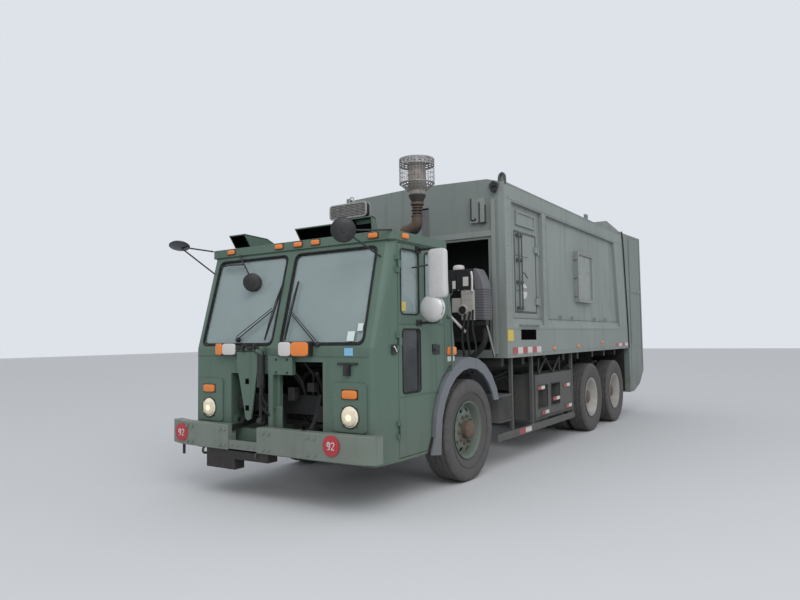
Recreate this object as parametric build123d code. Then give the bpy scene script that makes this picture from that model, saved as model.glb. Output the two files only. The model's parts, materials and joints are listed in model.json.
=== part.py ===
"""Low cab-forward rear-loading garbage truck, in millimetres.

Drawn with X to the truck's left, Y rearward from the front axle and Z up from
the ground.  keep() moves each finished piece so that the origin is on the
ground under the middle of the whole length.
"""
import os
from math import atan2, cos, degrees, pi, radians, sin, sqrt, tan

from build123d import *

os.makedirs("parts", exist_ok=True)

# Whole vehicle
front_overhang = 1865.0      # front axle to the bumper's face
rear_overhang = 7500.0       # front axle to the tailgate's rear face
overall_length = front_overhang + rear_overhang
axle_shift = front_overhang - overall_length / 2

# Axles and wheels
first_drive_y = 4144.0
tandem_spacing = 1320.0
tyre_radius = 531.0
front_tyre_width = 300.0
drive_tyre_width = 272.0
front_tyre_x = 1044.0        # middle of the tyre
drive_outer_x = 1076.0
drive_inner_x = 746.0
bead_radius = 286.0
rim_wall = 12.0
rim_lip = 14.0
rim_half_width = 112.0
hub_clearance = 0.5
front_spindle_radius = 42.0
drive_spindle_radius = 58.0
kingpin_x = 900.0
kingpin_radius = 24.0
kingpin_clearance = 0.5
steer_arm_length = 172.0
tie_rod_radius = 18.0
ball_pin_radius = 14.0

# Frame
rail_outer_x = 430.0
rail_flange = 88.0
rail_thickness = 10.0
rail_bottom = 760.0
rail_top = 1030.0
rail_front_y = -1560.0
rail_rear_y = 6180.0
cross_member_width = 90.0
cross_member_inset = 45.0

# Cab
cab_half_width = 1180.0
cab_front_y = -1690.0
cab_corner_y = -1345.0       # where the side starts to turn inwards
cab_nose_half_width = 1140.0
cab_rear_y = -310.0
cab_rear_top_y = -470.0
cab_bottom = 420.0
cab_belt = 1430.0            # lower edge of the raked windshield wall
cab_top = 2400.0
windshield_top_y = -1425.0
cab_wall = 42.0
cab_floor = 492.0
cab_floor_thickness = 34.0
tunnel_half_width = 600.0
tunnel_top = 1310.0
tunnel_wall = 26.0
roof_crown = 32.0
roof_overhang = 14.0
visor_height = 80.0
panel_gap = 6.0

# Doors and windows of the cab
door_front_y = -1345.0
door_rear_y = -520.0
door_bottom = 450.0
door_top = 2372.0
door_windows = [
    # front, rear, bottom, top, corner radius
    (-1300.0, -990.0, 1728.0, 2325.0, 45.0),
    (-880.0, -570.0, 1728.0, 2325.0, 45.0),
    (-1280.0, -975.0, 1010.0, 1592.0, 40.0),
]
glass_thickness = 6.0
pane_inner_x = 52.0
pane_outer_x = 1040.0
pane_bottom = 1462.0
pane_top = 2345.0
pane_corner = 62.0
door_hinge_x = 1196.0
door_hinge_radius = 11.0

# Wheel arch flare
flare_centre_y = -40.0
flare_centre_z = 562.0
flare_inner_radius = 622.0
flare_outer_radius = 738.0
flare_outer_x = 1216.0
flare_thickness = 22.0
arch_clearance = 26.0

# Load body
body_half_width = 1225.0
body_wall_x = 1180.0         # the recessed side wall
body_wall = 40.0
body_front_y = 900.0
body_bottom = 1255.0
body_floor = 1296.0
sill_top = 1620.0
ledge_top = 1734.0
body_side_top = 3366.0
body_crown = 3455.0
body_rear_bottom_y = 6399.0  # at body_bottom
body_rear_top_y = 6071.0     # at rake_top
rake_top = 3394.0
rear_post_width = 520.0
corner_post_width = 190.0
top_rail_drop = 212.0
seal_gap = 14.0

# Tailgate
gate_half_width = 1225.0
gate_wall = 46.0
gate_top = 3446.0
gate_rear_y = rear_overhang
hopper_bottom = 432.0
load_sill = 1010.0
load_lintel = 2290.0
gate_hinge_radius = 34.0
hinge_clearance = 1.0


def block(x0, x1, y0, y1, z0, z1):
    """Box between two corners."""
    return Pos((x0 + x1) / 2, (y0 + y1) / 2, (z0 + z1) / 2) * Box(x1 - x0, y1 - y0, z1 - z0)


def outline(points):
    """Closed flat face through corner points."""
    return make_face(Polyline(*points, close=True))


def along_x(points, x0, x1):
    """(y, z) outline carried from x0 to x1."""
    return extrude(Plane.YZ.offset(x0) * outline(points), x1 - x0)


def along_y(points, y0, y1):
    """(x, z) outline carried from y0 to y1."""
    return extrude(Plane.XZ.offset(-y0) * outline(points), -(y1 - y0))


def along_z(points, z0, z1):
    """(x, y) outline carried from z0 to z1."""
    return extrude(Plane.XY.offset(z0) * outline(points), z1 - z0)


# Round things are drawn with few flats: up to this radius, this many
flats_by_radius = [(34.0, 6), (75.0, 8), (140.0, 12), (260.0, 16)]
most_flats = 24


def round_stock(radius, length, hole):
    """Upright round stock; a bar keeps inside its radius, a hole keeps outside it."""
    flats = most_flats
    for limit, count in reversed(flats_by_radius):
        if radius <= limit:
            flats = count
    face = RegularPolygon(radius, flats, major_radius=not hole)
    return extrude(face, length / 2, both=True)


def rod_x(radius, x0, x1, y, z, hole=False):
    """Round bar or hole along X."""
    return Pos((x0 + x1) / 2, y, z) * Rot(0, 90, 0) * round_stock(radius, x1 - x0, hole)


def rod_y(radius, x, y0, y1, z, hole=False):
    """Round bar or hole along Y."""
    return Pos(x, (y0 + y1) / 2, z) * Rot(90, 0, 0) * round_stock(radius, y1 - y0, hole)


def rod_z(radius, x, y, z0, z1, hole=False):
    """Round bar or hole along Z."""
    return Pos(x, y, (z0 + z1) / 2) * round_stock(radius, z1 - z0, hole)


def bar(start, end, radius):
    """Round bar between two points."""
    a, b = Vector(*start), Vector(*end)
    middle = (a + b) * 0.5
    return Plane(origin=middle, z_dir=b - a) * round_stock(radius, (b - a).length, False)


def soft_corners(points, radius, steps=2):
    """Corner points with each corner rounded off by a few chords."""
    softened = []
    for index, corner in enumerate(points):
        before, after = points[index - 1], points[(index + 1) % len(points)]
        ends = []
        for other in (before, after):
            run = sqrt((other[0] - corner[0]) ** 2 + (other[1] - corner[1]) ** 2)
            ends.append((corner[0] + (other[0] - corner[0]) * radius / run, corner[1] + (other[1] - corner[1]) * radius / run))
        for step in range(steps + 1):
            t = step / steps
            softened.append(tuple((1 - t) ** 2 * ends[0][i] * 1.0 + 2 * t * (1 - t) * corner[i] + t ** 2 * ends[1][i] for i in (0, 1)))
    return softened


def flat_panels(corners):
    """One face through four corners, or two three-sided ones where they don't share a plane."""
    a, b, c, d = [Vector(*corner) for corner in corners]
    across = (b - a).cross(c - a).normalized()
    outlines = [[a, b, c, d]] if abs(across.dot(d - a)) < 1e-5 else [[a, b, c], [a, c, d]]
    return [Face(Wire.make_polygon(points, close=True)) for points in outlines]


def faceted(rings):
    """Solid with flat sides from ring to ring; every ring has as many corner points."""
    sides = []
    for low, high in zip(rings, rings[1:]):
        for i in range(len(low)):
            sides += flat_panels([low[i - 1], low[i], high[i], high[i - 1]])
    ends = [Face(Wire.make_polygon(ring, close=True)) for ring in (rings[0], rings[-1])]
    return Solid(Shell(sides + ends))


def flat_sided(sections, flats):
    """Upright form with this many flats through (z, radius to the flats) sections."""
    corner = 1 / cos(pi / flats)
    turns = [2 * pi * (i + 0.5) / flats for i in range(flats)]
    return faceted([[(r * corner * cos(turn), r * corner * sin(turn), z) for turn in turns] for z, r in sections])


wheel_flats = 16


def turned_x(sections):
    """Wheel form round the X axis through (x, radius) sections, a flat at the bottom."""
    if sections[0][0] > sections[-1][0]:
        sections = sections[::-1]
    return Rot(0, 90, 0) * flat_sided(sections, wheel_flats)


def mirrored(shape):
    """The same piece on the truck's right side."""
    return mirror(shape, about=Plane.YZ)


def both_sides(shape):
    """A piece and its mirror image as one compound."""
    return Compound(children=[shape, mirrored(shape)])


def keep(name, *shapes):
    """Write one node, moved to the part's origin."""
    pieces = []
    for shape in shapes:
        pieces.extend(shape.solids())
    shifted = [Pos(0, axle_shift, 0) * piece for piece in pieces]
    whole = shifted[0] if len(shifted) == 1 else Compound(children=shifted)
    export_step(whole, f"parts/{name}.step")


# Frame rails: two channels with boxed cross members let in between the webs
def channel(x_web, inward):
    """Channel section rail with its web outside and its flanges inward."""
    web_in = x_web + inward * rail_thickness
    tip = x_web + inward * rail_flange
    section = [
        (x_web, rail_bottom), (tip, rail_bottom), (tip, rail_bottom + rail_thickness),
        (web_in, rail_bottom + rail_thickness), (web_in, rail_top - rail_thickness),
        (tip, rail_top - rail_thickness), (tip, rail_top), (x_web, rail_top),
    ]
    return along_y(section, rail_front_y, rail_rear_y)


cross_member_y = [-1500.0, 1330.0, 2450.0, 3450.0, 4804.0, 6100.0]
web_inner_x = rail_outer_x - rail_thickness
frame = channel(rail_outer_x, -1) + channel(-rail_outer_x, 1)
for member_y in cross_member_y:
    frame += block(-web_inner_x, web_inner_x, member_y - cross_member_width / 2, member_y + cross_member_width / 2,
                   rail_bottom + cross_member_inset, rail_top - cross_member_inset)

# Tyres: one profile of flats about the axle, widest half way up the side wall
def tyre(middle_x, width):
    """Tyre on the X axis through the wheel centre, with bead, side wall, shoulder and tread."""
    half = width / 2
    bead_half = rim_half_width - 6
    bead_top = bead_radius + 26.0
    side_wall_radius = (tyre_radius + bead_radius) / 2 + 20
    shoulder = 26.0
    outer = turned_x([
        (-bead_half, bead_top), (-half, side_wall_radius), (shoulder - half, tyre_radius), (half - shoulder, tyre_radius),
        (half, side_wall_radius), (bead_half, bead_top),
    ])
    return Pos(middle_x, 0, 0) * (outer - turned_x([(-half, bead_radius), (half, bead_radius)]))


def rim(middle_x):
    """Rim barrel under one tyre with its flared lips."""
    inside = bead_radius - rim_wall
    half = rim_half_width
    barrel = turned_x([(-half - 4, bead_radius + rim_lip), (6 - half, bead_radius), (half - 6, bead_radius),
                       (half + 4, bead_radius + rim_lip)])
    return Pos(middle_x, 0, 0) * (barrel - turned_x([(-half - 5, inside), (half + 5, inside)]))


hand_hole_count = 4
hand_hole_radius = 30.0
hand_hole_pitch = 212.0
disc_wall = 14.0


def dished_disc(root_x, face_x, face_radius, holes):
    """Wheel disc: a cone from the barrel to a flat bolting face, with its hand holes."""
    inside = bead_radius - rim_wall + 1
    side = 1 if face_x > root_x else -1
    outside = turned_x([(root_x, inside), (root_x + side * disc_wall, inside), (face_x, face_radius)])
    hollow = turned_x([(root_x, inside), (face_x - side * disc_wall, face_radius - 8)])
    disc = outside - hollow
    for index in range(holes):
        hole = rod_x(hand_hole_radius, min(root_x, face_x) - 30, max(root_x, face_x) + 30, 0, -hand_hole_pitch)
        disc -= Rot(index * 360.0 / holes, 0, 0) * hole
    return disc


def front_wheel():
    """Rim with its disc bulging out to the hub face, hub, cap and brake drum."""
    face_x = front_tyre_x + 74
    disc = dished_disc(front_tyre_x + 20, face_x, 165.0, hand_hole_count)
    hub = rod_x(92, kingpin_x + 62, face_x + 60, 0, 0) + rod_x(205, kingpin_x + 62, kingpin_x + 110, 0, 0)
    cap = rod_x(62, face_x + 60, face_x + 74, 0, 0)
    bore = rod_x(front_spindle_radius + hub_clearance, 0, face_x + 60, 0, 0, hole=True)
    return rim(front_tyre_x) + disc + hub - bore + cap


def drive_wheels():
    """Two rims bolted back to back on one hub, with the brake drum behind."""
    face_x = (drive_inner_x + drive_outer_x) / 2
    dish = 52.0
    shape = rim(drive_outer_x) + rim(drive_inner_x)
    for side, middle, holes in ((1, drive_outer_x, hand_hole_count), (-1, drive_inner_x, 0)):
        shape += dished_disc(middle - side * (rim_half_width - dish), face_x, 160.0, holes)
    hub = rod_x(100, face_x - 170, face_x + 150, 0, 0) + rod_x(205, face_x - 170, face_x - 130, 0, 0)
    cap = rod_x(74, face_x + 150, face_x + 162, 0, 0)
    bore = rod_x(drive_spindle_radius + hub_clearance, face_x - 171, face_x + 150, 0, 0, hole=True)
    return shape + hub - bore + cap


front_axle_place = Pos(0, 0, tyre_radius)
front_tyre_left = front_axle_place * tyre(front_tyre_x, front_tyre_width)
front_wheel_left = front_axle_place * front_wheel()
keep("front_tyre_left", front_tyre_left)
keep("front_tyre_right", mirrored(front_tyre_left))
keep("front_wheel_left", front_wheel_left)
keep("front_wheel_right", mirrored(front_wheel_left))

drive_y = [first_drive_y, first_drive_y + tandem_spacing]
twin_tyres = [tyre(drive_outer_x, drive_tyre_width), tyre(drive_inner_x, drive_tyre_width)]
twin_wheels = drive_wheels()
for number, axle_y in enumerate(drive_y, start=1):
    place = Pos(0, axle_y, tyre_radius)
    placed = [place * one for one in twin_tyres]
    keep(f"drive_tyres_{number}_left", *placed)
    keep(f"drive_tyres_{number}_right", *[mirrored(one) for one in placed])
    keep(f"drive_wheels_{number}_left", place * twin_wheels)
    keep(f"drive_wheels_{number}_right", mirrored(place * twin_wheels))

# Front axle: a dropped beam, kingpins in its ends, and a leaf pack on each side
beam_half = kingpin_x - 34.0
axle_z = tyre_radius
beam_low = axle_z - 150.0
pad_x = 430.0
pad_half = 48.0
front_leaf_half_span = 700.0
front_leaf_stack = 84.0
beam = along_y([
    (-beam_half - 34, axle_z - 62), (-beam_half - 34, axle_z + 62), (-beam_half + 26, axle_z + 62), (-700, beam_low + 92),
    (700, beam_low + 92), (beam_half - 26, axle_z + 62), (beam_half + 34, axle_z + 62), (beam_half + 34, axle_z - 62),
    (beam_half - 26, axle_z - 62), (700, beam_low), (-700, beam_low), (-beam_half + 26, axle_z - 62),
], -46, 46)
beam -= along_y([(-760, beam_low + 22), (-760, beam_low + 70), (760, beam_low + 70), (760, beam_low + 22)], -60, -18)
beam -= along_y([(-760, beam_low + 22), (-760, beam_low + 70), (760, beam_low + 70), (760, beam_low + 22)], 18, 60)
beam -= both_sides(rod_z(kingpin_radius, kingpin_x, 0, axle_z - 90, axle_z + 90, hole=True)).solids()
keep("front_axle", beam)

beam_top = beam_low + 92.0


def leaf_pack(middle_y, half_span, seat_z, rise, stack, x_middle, half_width, sign=1):
    """Stack of leaves as one bowed bar, thick at the seat and thin at the eyes."""
    eye = stack * 0.34
    lower = [(-half_span, seat_z + rise), (-half_span * 0.5, seat_z + rise * 0.25), (-70, seat_z),
             (70, seat_z), (half_span * 0.5, seat_z + rise * 0.25), (half_span, seat_z + rise)]
    upper = [(half_span, seat_z + rise + eye), (half_span * 0.5, seat_z + rise * 0.25 + stack * 0.7),
             (70, seat_z + stack), (-70, seat_z + stack),
             (-half_span * 0.5, seat_z + rise * 0.25 + stack * 0.7), (-half_span, seat_z + rise + eye)]
    if sign < 0:
        lower = [(y, 2 * seat_z - z) for y, z in lower]
        upper = [(y, 2 * seat_z - z) for y, z in upper]
    points = [(middle_y + y, z) for y, z in lower + upper]
    return along_x(points, x_middle - half_width, x_middle + half_width)


front_spring_rise = rail_bottom - beam_top - front_leaf_stack * 0.34 - 60.0
front_spring = leaf_pack(0, front_leaf_half_span, beam_top, front_spring_rise, front_leaf_stack, pad_x - 45, 40)
for end in (-1, 1):
    eye_y = end * front_leaf_half_span
    eye_z = beam_top + front_spring_rise + front_leaf_stack * 0.17
    front_spring += rod_x(30, pad_x - 45 - 40, pad_x - 5, eye_y, eye_z)
    front_spring += block(pad_x - 45 - 40, pad_x - 5, eye_y - 26, eye_y + 26, eye_z, rail_bottom)
keep("front_springs", both_sides(front_spring))

# Steering knuckles: fork over the beam's end, kingpin, spindle and steering arm
fork_gap = 62.0 + 5.0
fork_top = 118.0
spindle_end = front_tyre_x + 74.0 + 50.0
knuckle = rod_z(kingpin_radius - kingpin_clearance, kingpin_x, 0, axle_z - fork_top, axle_z + fork_top)
knuckle += block(kingpin_x - 34, kingpin_x + 56, -44, 44, axle_z + fork_gap, axle_z + fork_top)
knuckle += block(kingpin_x - 34, kingpin_x + 56, -44, 44, axle_z - fork_top, axle_z - fork_gap)
knuckle += block(kingpin_x + 40, kingpin_x + 56, -44, 44, axle_z - fork_top, axle_z + fork_top)
knuckle += rod_x(front_spindle_radius, kingpin_x + 50, spindle_end, 0, axle_z)
arm_z = axle_z - fork_top
arm_tip_x = kingpin_x
knuckle += along_z([
    (kingpin_x - 30, 30), (kingpin_x + 30, 30), (arm_tip_x + 24, steer_arm_length), (arm_tip_x - 24, steer_arm_length),
], arm_z, arm_z + 30)
knuckle += rod_z(24, arm_tip_x, steer_arm_length, arm_z, arm_z + 30)
knuckle += rod_z(ball_pin_radius, arm_tip_x, steer_arm_length, arm_z - 52, arm_z)
keep("knuckle_left", knuckle)
keep("knuckle_right", mirrored(knuckle))

rod_z_level = arm_z - 30.0
tie_rod = rod_x(tie_rod_radius, -arm_tip_x + 20, arm_tip_x - 20, steer_arm_length, rod_z_level)
for side in (-1, 1):
    tie_rod += rod_z(30, side * arm_tip_x, steer_arm_length, rod_z_level - 24, rod_z_level + 24)
tie_rod -= both_sides(rod_z(ball_pin_radius + 1.0, arm_tip_x, steer_arm_length, rod_z_level - 40, rod_z_level + 40, hole=True)).solids()
keep("tie_rod", tie_rod)

# Drive axles: tube, banjo housing, spring pads and torque arms
housing_radius = 78.0
pad_height = 26.0
camel_x = 505.0
camel_half = 50.0
camel_stack = 150.0
for_axles = []
for axle_y in drive_y:
    centre = Pos(0, axle_y, tyre_radius)
    housing = rod_x(housing_radius, -560, 560, 0, 0)
    banjo = Rot(-90, 0, 0) * flat_sided([(-115, 212), (75, 212), (155, 118)], 12)
    nose = Pos(0, 0, 40) * Rot(-90, 0, 0) * flat_sided([(-245, 108), (-115, 172)], 12)
    housing += banjo + nose
    for side in (-1, 1):
        spindle_out = (drive_inner_x + drive_outer_x) / 2 + 140
        housing += rod_x(drive_spindle_radius, min(side * 550, side * spindle_out), max(side * 550, side * spindle_out), 0, 0)
        housing += block(side * camel_x - camel_half, side * camel_x + camel_half, -62, 62, 0, housing_radius + pad_height)
    for_axles.append(centre * housing)

# Tandem suspension: arched leaf packs, ends on the axle pads, middle on a trunnion under the rails
trunnion_y = sum(drive_y) / 2
pad_top = tyre_radius + housing_radius + pad_height
arch_top = rail_bottom - 42.0
half_tandem = tandem_spacing / 2
arch = along_x([
    (trunnion_y - half_tandem - 75, pad_top), (trunnion_y - half_tandem + 75, pad_top),
    (trunnion_y - 260, arch_top - camel_stack * 0.9), (trunnion_y + 260, arch_top - camel_stack * 0.9),
    (trunnion_y + half_tandem - 75, pad_top), (trunnion_y + half_tandem + 75, pad_top),
    (trunnion_y + half_tandem + 75, pad_top + 34), (trunnion_y + 330, arch_top - 8),
    (trunnion_y + 120, arch_top), (trunnion_y - 120, arch_top), (trunnion_y - 330, arch_top - 8),
    (trunnion_y - half_tandem - 75, pad_top + 34),
], camel_x - camel_half + 8, camel_x + camel_half - 8)
saddle = block(camel_x - camel_half + 4, camel_x + camel_half - 4, trunnion_y - 110, trunnion_y + 110, arch_top, arch_top + 42)
saddle += along_x([
    (trunnion_y - 210, rail_top - 60), (trunnion_y + 210, rail_top - 60), (trunnion_y + 110, arch_top + 10),
    (trunnion_y - 110, arch_top + 10),
], rail_outer_x, camel_x - camel_half + 20)
keep("tandem_springs", both_sides(arch + saddle))

# Engine and gearbox as one plain mass, propshafts to the axles
engine_half = 318.0
gearbox_rear_y = 760.0
engine = block(-engine_half, engine_half, -880, 180, 565, 1240)
engine += block(-230, 230, 180, gearbox_rear_y, 640, 1010)

shaft_radius = 52.0
shaft_z = tyre_radius + 40.0
nose_y = 245.0
output_z = 715.0
flange_radius = 66.0
flange_length = 60.0
first_nose = first_drive_y - nose_y
propshaft = bar((0, gearbox_rear_y + 30, output_z), (0, first_nose - 30, shaft_z), shaft_radius)
propshaft += rod_y(flange_radius, 0, gearbox_rear_y, gearbox_rear_y + flange_length, output_z)
propshaft += rod_y(flange_radius, 0, first_nose - flange_length, first_nose, shaft_z)
second = rod_y(shaft_radius, 0, first_drive_y + 155, first_drive_y + tandem_spacing - nose_y, shaft_z)
keep("drive_axles", *for_axles, propshaft, second)

# Radiator with its shroud, between the rails behind the cab's front recess
radiator_y = -1180.0
radiator_half = rail_outer_x - rail_flange
radiator = block(-radiator_half, radiator_half, radiator_y, radiator_y + 90, 640, 1270)
radiator += block(-radiator_half + 40, radiator_half - 40, radiator_y + 90, radiator_y + 200, 680, 1230)
radiator -= rod_y(230, 0, radiator_y + 110, radiator_y + 210, 955)
keep("engine", engine, radiator)

# Cab: plan outlines at the belt and at the top, with rounded nose corners
windshield_rake = (windshield_top_y - cab_front_y) / (cab_top - cab_belt)
rear_rake = (cab_rear_top_y - cab_rear_y) / (cab_top - cab_belt)
nose_corner = 70.0


def cab_plan(front_y, rear_y, inset, z):
    """Plan corners of the cab at one level, moved inwards by inset."""
    half = cab_half_width - inset
    nose = cab_nose_half_width - inset
    front = front_y + inset
    corner = cab_corner_y
    corners = soft_corners([
        (-nose, front), (nose, front), (half, corner), (half, rear_y - inset), (-half, rear_y - inset),
        (-half, corner)], nose_corner - inset * 0.5, 3)
    nose_points = corners[:8] + [(half, corner), (half, rear_y - inset), (-half, rear_y - inset), (-half, corner)]
    return [(x, y, z) for x, y in nose_points]


def cab_form(inset, low, high):
    """Cab volume between two levels, straight below the belt and raked above it."""
    rings = [cab_plan(cab_front_y, cab_rear_y, inset, low), cab_plan(cab_front_y, cab_rear_y, inset, min(cab_belt, high))]
    if high > cab_belt:
        share = (high - cab_belt) / (cab_top - cab_belt)
        front = cab_front_y + (windshield_top_y - cab_front_y) * share
        rear = cab_rear_y + (cab_rear_top_y - cab_rear_y) * share
        rings.append(cab_plan(front, rear, inset, high))
    return faceted(rings)


def rounded_x(front, rear, bottom, top, radius, x0, x1):
    """Window shaped block along X with rounded corners."""
    return along_x(soft_corners([(front, bottom), (rear, bottom), (rear, top), (front, top)], radius), x0, x1)


def wind_pane(grow):
    """One windshield opening as a block along Y, grown or shrunk by a margin."""
    return along_y(soft_corners([
        (pane_inner_x - grow, pane_bottom - grow), (pane_outer_x + grow, pane_bottom - grow),
        (pane_outer_x + grow - 8, pane_top + grow), (pane_inner_x - grow, pane_top + grow)], pane_corner + grow, 3),
        cab_front_y - 60, windshield_top_y + 140)


arch_radius = flare_outer_radius + arch_clearance
arch_foot_run = 76.0
arch_x0 = tunnel_half_width + tunnel_wall
door_arch_radius = arch_radius + 8.0
door_inner_x = cab_half_width - cab_wall


def arch_well(radius, x0, x1):
    """Round wheel well on the flare's centre line, open downwards, its front edge sloping forwards."""
    well = rod_x(radius, x0, x1, flare_centre_y, flare_centre_z)
    front = flare_centre_y - radius
    rear = flare_centre_y + radius
    slope = arch_foot_run / (flare_centre_z - cab_bottom)
    return well + along_x([(rear, flare_centre_z), (rear, 0), (front - slope * flare_centre_z, 0), (front, flare_centre_z)], x0, x1)


def door_blank(margin, x0, x1):
    """Door outline along X; its lower rear corner follows the wheel arch."""
    blank = block(x0, x1, door_front_y - margin, door_rear_y + margin, door_bottom - margin, door_top + margin)
    return blank - arch_well(door_arch_radius - margin, x0 - 1, x1 + 1)


recess_openings = [
    # x0, x1, bottom, top
    (-598.0, -62.0, 655.0, 1186.0),
    (62.0, 590.0, 655.0, 1304.0),
]

shell = cab_form(0, cab_bottom, cab_top)
room = cab_form(cab_wall, cab_floor, cab_top)
room -= block(-arch_x0, arch_x0, -3000, 1000, 0, tunnel_top + tunnel_wall)
for side in (1, -1):
    x_in, x_out = sorted((side * (arch_x0 - 30), side * 1400))
    room -= arch_well(arch_radius + tunnel_wall, x_in, x_out)
shell -= room
under = cab_form(cab_wall, cab_bottom - 1, cab_floor - cab_floor_thickness)
shell -= under
shell -= block(-tunnel_half_width, tunnel_half_width, cab_front_y + cab_wall, 0, cab_bottom - 20, tunnel_top)
for side in (1, -1):
    x_in, x_out = sorted((side * tunnel_half_width, side * 1400))
    shell -= arch_well(arch_radius, x_in, x_out)
    shell -= door_blank(panel_gap, *sorted((side * (door_inner_x - 12), side * (cab_half_width + 20))))
    shell -= wind_pane(0) if side > 0 else mirrored(wind_pane(0))
for x0, x1, low, high in recess_openings:
    shell -= block(x0, x1, cab_front_y - 50, cab_front_y + cab_wall + 1, low, high)

# Door hinges: pins on the cab's corner, sleeves on the door between them
hinge_levels = [700.0, 1480.0, 2180.0]
sleeve_half = 34.0
knuckle_half = 78.0
hinge_y = door_front_y - panel_gap / 2
pin_radius = 6.0
for side in (1, -1):
    for level in hinge_levels:
        hinge = rod_z(pin_radius, door_hinge_x, hinge_y, level - knuckle_half, level + knuckle_half)
        for low, high in ((level - knuckle_half, level - sleeve_half - 2), (level + sleeve_half + 2, level + knuckle_half)):
            hinge += rod_z(door_hinge_radius, door_hinge_x, hinge_y, low, high)
            hinge += block(cab_half_width - 14, door_hinge_x, hinge_y - door_hinge_radius - 26, hinge_y - 2, low, high)
        shell += hinge if side > 0 else mirrored(hinge)

# Tilt hinge: ears on the tunnel's side walls carry a bore around the pins on the frame
tilt_y = -1600.0
tilt_z = 720.0
tilt_radius = 24.0
ear_half = 44.0
ear_thickness = 28.0
for side in (1, -1):
    ear = rod_x(ear_half, tunnel_half_width - ear_thickness, tunnel_half_width, tilt_y, tilt_z)
    ear += block(tunnel_half_width - ear_thickness, tunnel_half_width, cab_front_y + cab_wall, tilt_y, tilt_z - 40, tilt_z + 40)
    ear -= rod_x(tilt_radius + 1.0, 0, tunnel_half_width, tilt_y, tilt_z, hole=True)
    shell += ear if side > 0 else mirrored(ear)
keep("cab_shell", shell)

# Roof: visor band around the top with a low crowned lid
def roof_plan(inset, z):
    """Plan corners of the roof; the overhang is at the front and the sides."""
    half = cab_half_width + roof_overhang - inset
    front = windshield_top_y - roof_overhang + inset
    corners = soft_corners([(-half, front), (half, front), (half, cab_rear_top_y - inset), (-half, cab_rear_top_y - inset)], 74.0, 3)
    nose_points = corners[:8] + [(half, cab_rear_top_y - inset), (-half, cab_rear_top_y - inset)]
    return [(x, y, z) for x, y in nose_points]


roof = faceted([roof_plan(0, cab_top), roof_plan(0, cab_top + visor_height)])
roof += faceted([roof_plan(4, cab_top + visor_height), roof_plan(190, cab_top + visor_height + roof_crown)])
ceiling_inset = roof_overhang + cab_wall + 6
roof -= faceted([roof_plan(ceiling_inset, cab_top), roof_plan(ceiling_inset, cab_top + visor_height - 30)])
keep("cab_roof", roof)
roof_deck = cab_top + visor_height
roof_top = roof_deck + roof_crown

# Windshield: two raked panes let into their openings
glass_depth = 16.0
rake_run = cab_front_y + glass_depth
slab = along_x([
    (rake_run, cab_belt), (rake_run + glass_thickness, cab_belt),
    (rake_run + glass_thickness + windshield_top_y - cab_front_y, cab_top),
    (rake_run + windshield_top_y - cab_front_y, cab_top),
], -cab_half_width, cab_half_width)
pane_left = wind_pane(0) & slab
keep("windshield", pane_left, mirrored(pane_left))

# Doors with their windows, sleeves and a flush latch, one leaf as thick as the wall
door = door_blank(0, door_inner_x, cab_half_width)
for front, rear, low, high, corner in door_windows:
    door -= rounded_x(front, rear, low, high, corner, door_inner_x - 5, cab_half_width + 5)
latch_y = -720.0
latch_z = 1410.0
door -= block(cab_half_width - 12, cab_half_width + 2, latch_y - 42, latch_y + 42, latch_z - 38, latch_z + 38)
door += block(cab_half_width - 12, cab_half_width - 2, latch_y - 14, latch_y + 14, latch_z - 38, latch_z + 38)
for level in hinge_levels:
    sleeve = rod_z(door_hinge_radius, door_hinge_x, hinge_y, level - sleeve_half, level + sleeve_half)
    sleeve += block(cab_half_width - 14, door_hinge_x, hinge_y + 5, hinge_y + 44, level - sleeve_half, level + sleeve_half)
    sleeve -= rod_z(pin_radius + 0.5, door_hinge_x, hinge_y, level - 60, level + 60, hole=True)
    door += sleeve

pane_x = cab_half_width - 24.0
door_glass = [rounded_x(front, rear, low, high, corner, pane_x, pane_x + glass_thickness)
              for front, rear, low, high, corner in door_windows]
keep("door_glass_left", *door_glass)
keep("door_glass_right", *[mirrored(one) for one in door_glass])

# Side mirrors on tubular arms from the door: a tall flat head over a round convex one
mirror_y = -1000.0
mirror_in, mirror_out = 1322.0, 1500.0
mirror_low, mirror_high = 1880.0, 2328.0
convex_x, convex_z, convex_radius = 1352.0, 1782.0, 112.0
arm_radius = 11.0
stem_offset = 6.0
stem_x = (mirror_in + mirror_out) / 2
head = along_y(soft_corners([(mirror_in, mirror_low), (mirror_out, mirror_low), (mirror_out, mirror_high), (mirror_in, mirror_high)],
                            46.0), mirror_y - 40, mirror_y)
stem = rod_z(arm_radius, stem_x, mirror_y + stem_offset, 1640, 2352)
stem += rod_x(arm_radius, cab_half_width, stem_x, mirror_y + stem_offset, 2352 - arm_radius)
stem += rod_x(arm_radius, cab_half_width, stem_x, mirror_y + stem_offset, 1640 + arm_radius)
stem += rod_x(30, cab_half_width, cab_half_width + 10, mirror_y + stem_offset, 1640 + arm_radius)
stem += rod_x(30, cab_half_width, cab_half_width + 10, mirror_y + stem_offset, 2352 - arm_radius)
convex = rod_y(convex_radius, convex_x, mirror_y - 26, mirror_y, convex_z)
convex += block(convex_x, stem_x + 8, mirror_y - 20, mirror_y - 6, convex_z - 9, convex_z + 9)
convex += block(stem_x - 8, stem_x + 8, mirror_y - 20, mirror_y + stem_offset, convex_z - 9, convex_z + 9)
side_mirror = head + stem + convex
keep("door_left", door, side_mirror)
keep("door_right", mirrored(door), mirrored(side_mirror))

# Dash across the cab over the tunnel, and the steering column with its wheel
dash_rear_y = -1430.0
dash = along_x([
    (cab_front_y + cab_wall, 1180), (dash_rear_y - 60, 1180), (dash_rear_y, 1260), (dash_rear_y - 30, 1390),
    (cab_front_y + cab_wall, 1425),
], -1010, 1010)
dash -= block(-arch_x0, arch_x0, cab_front_y, dash_rear_y + 100, 1100, tunnel_top + tunnel_wall)

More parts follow.
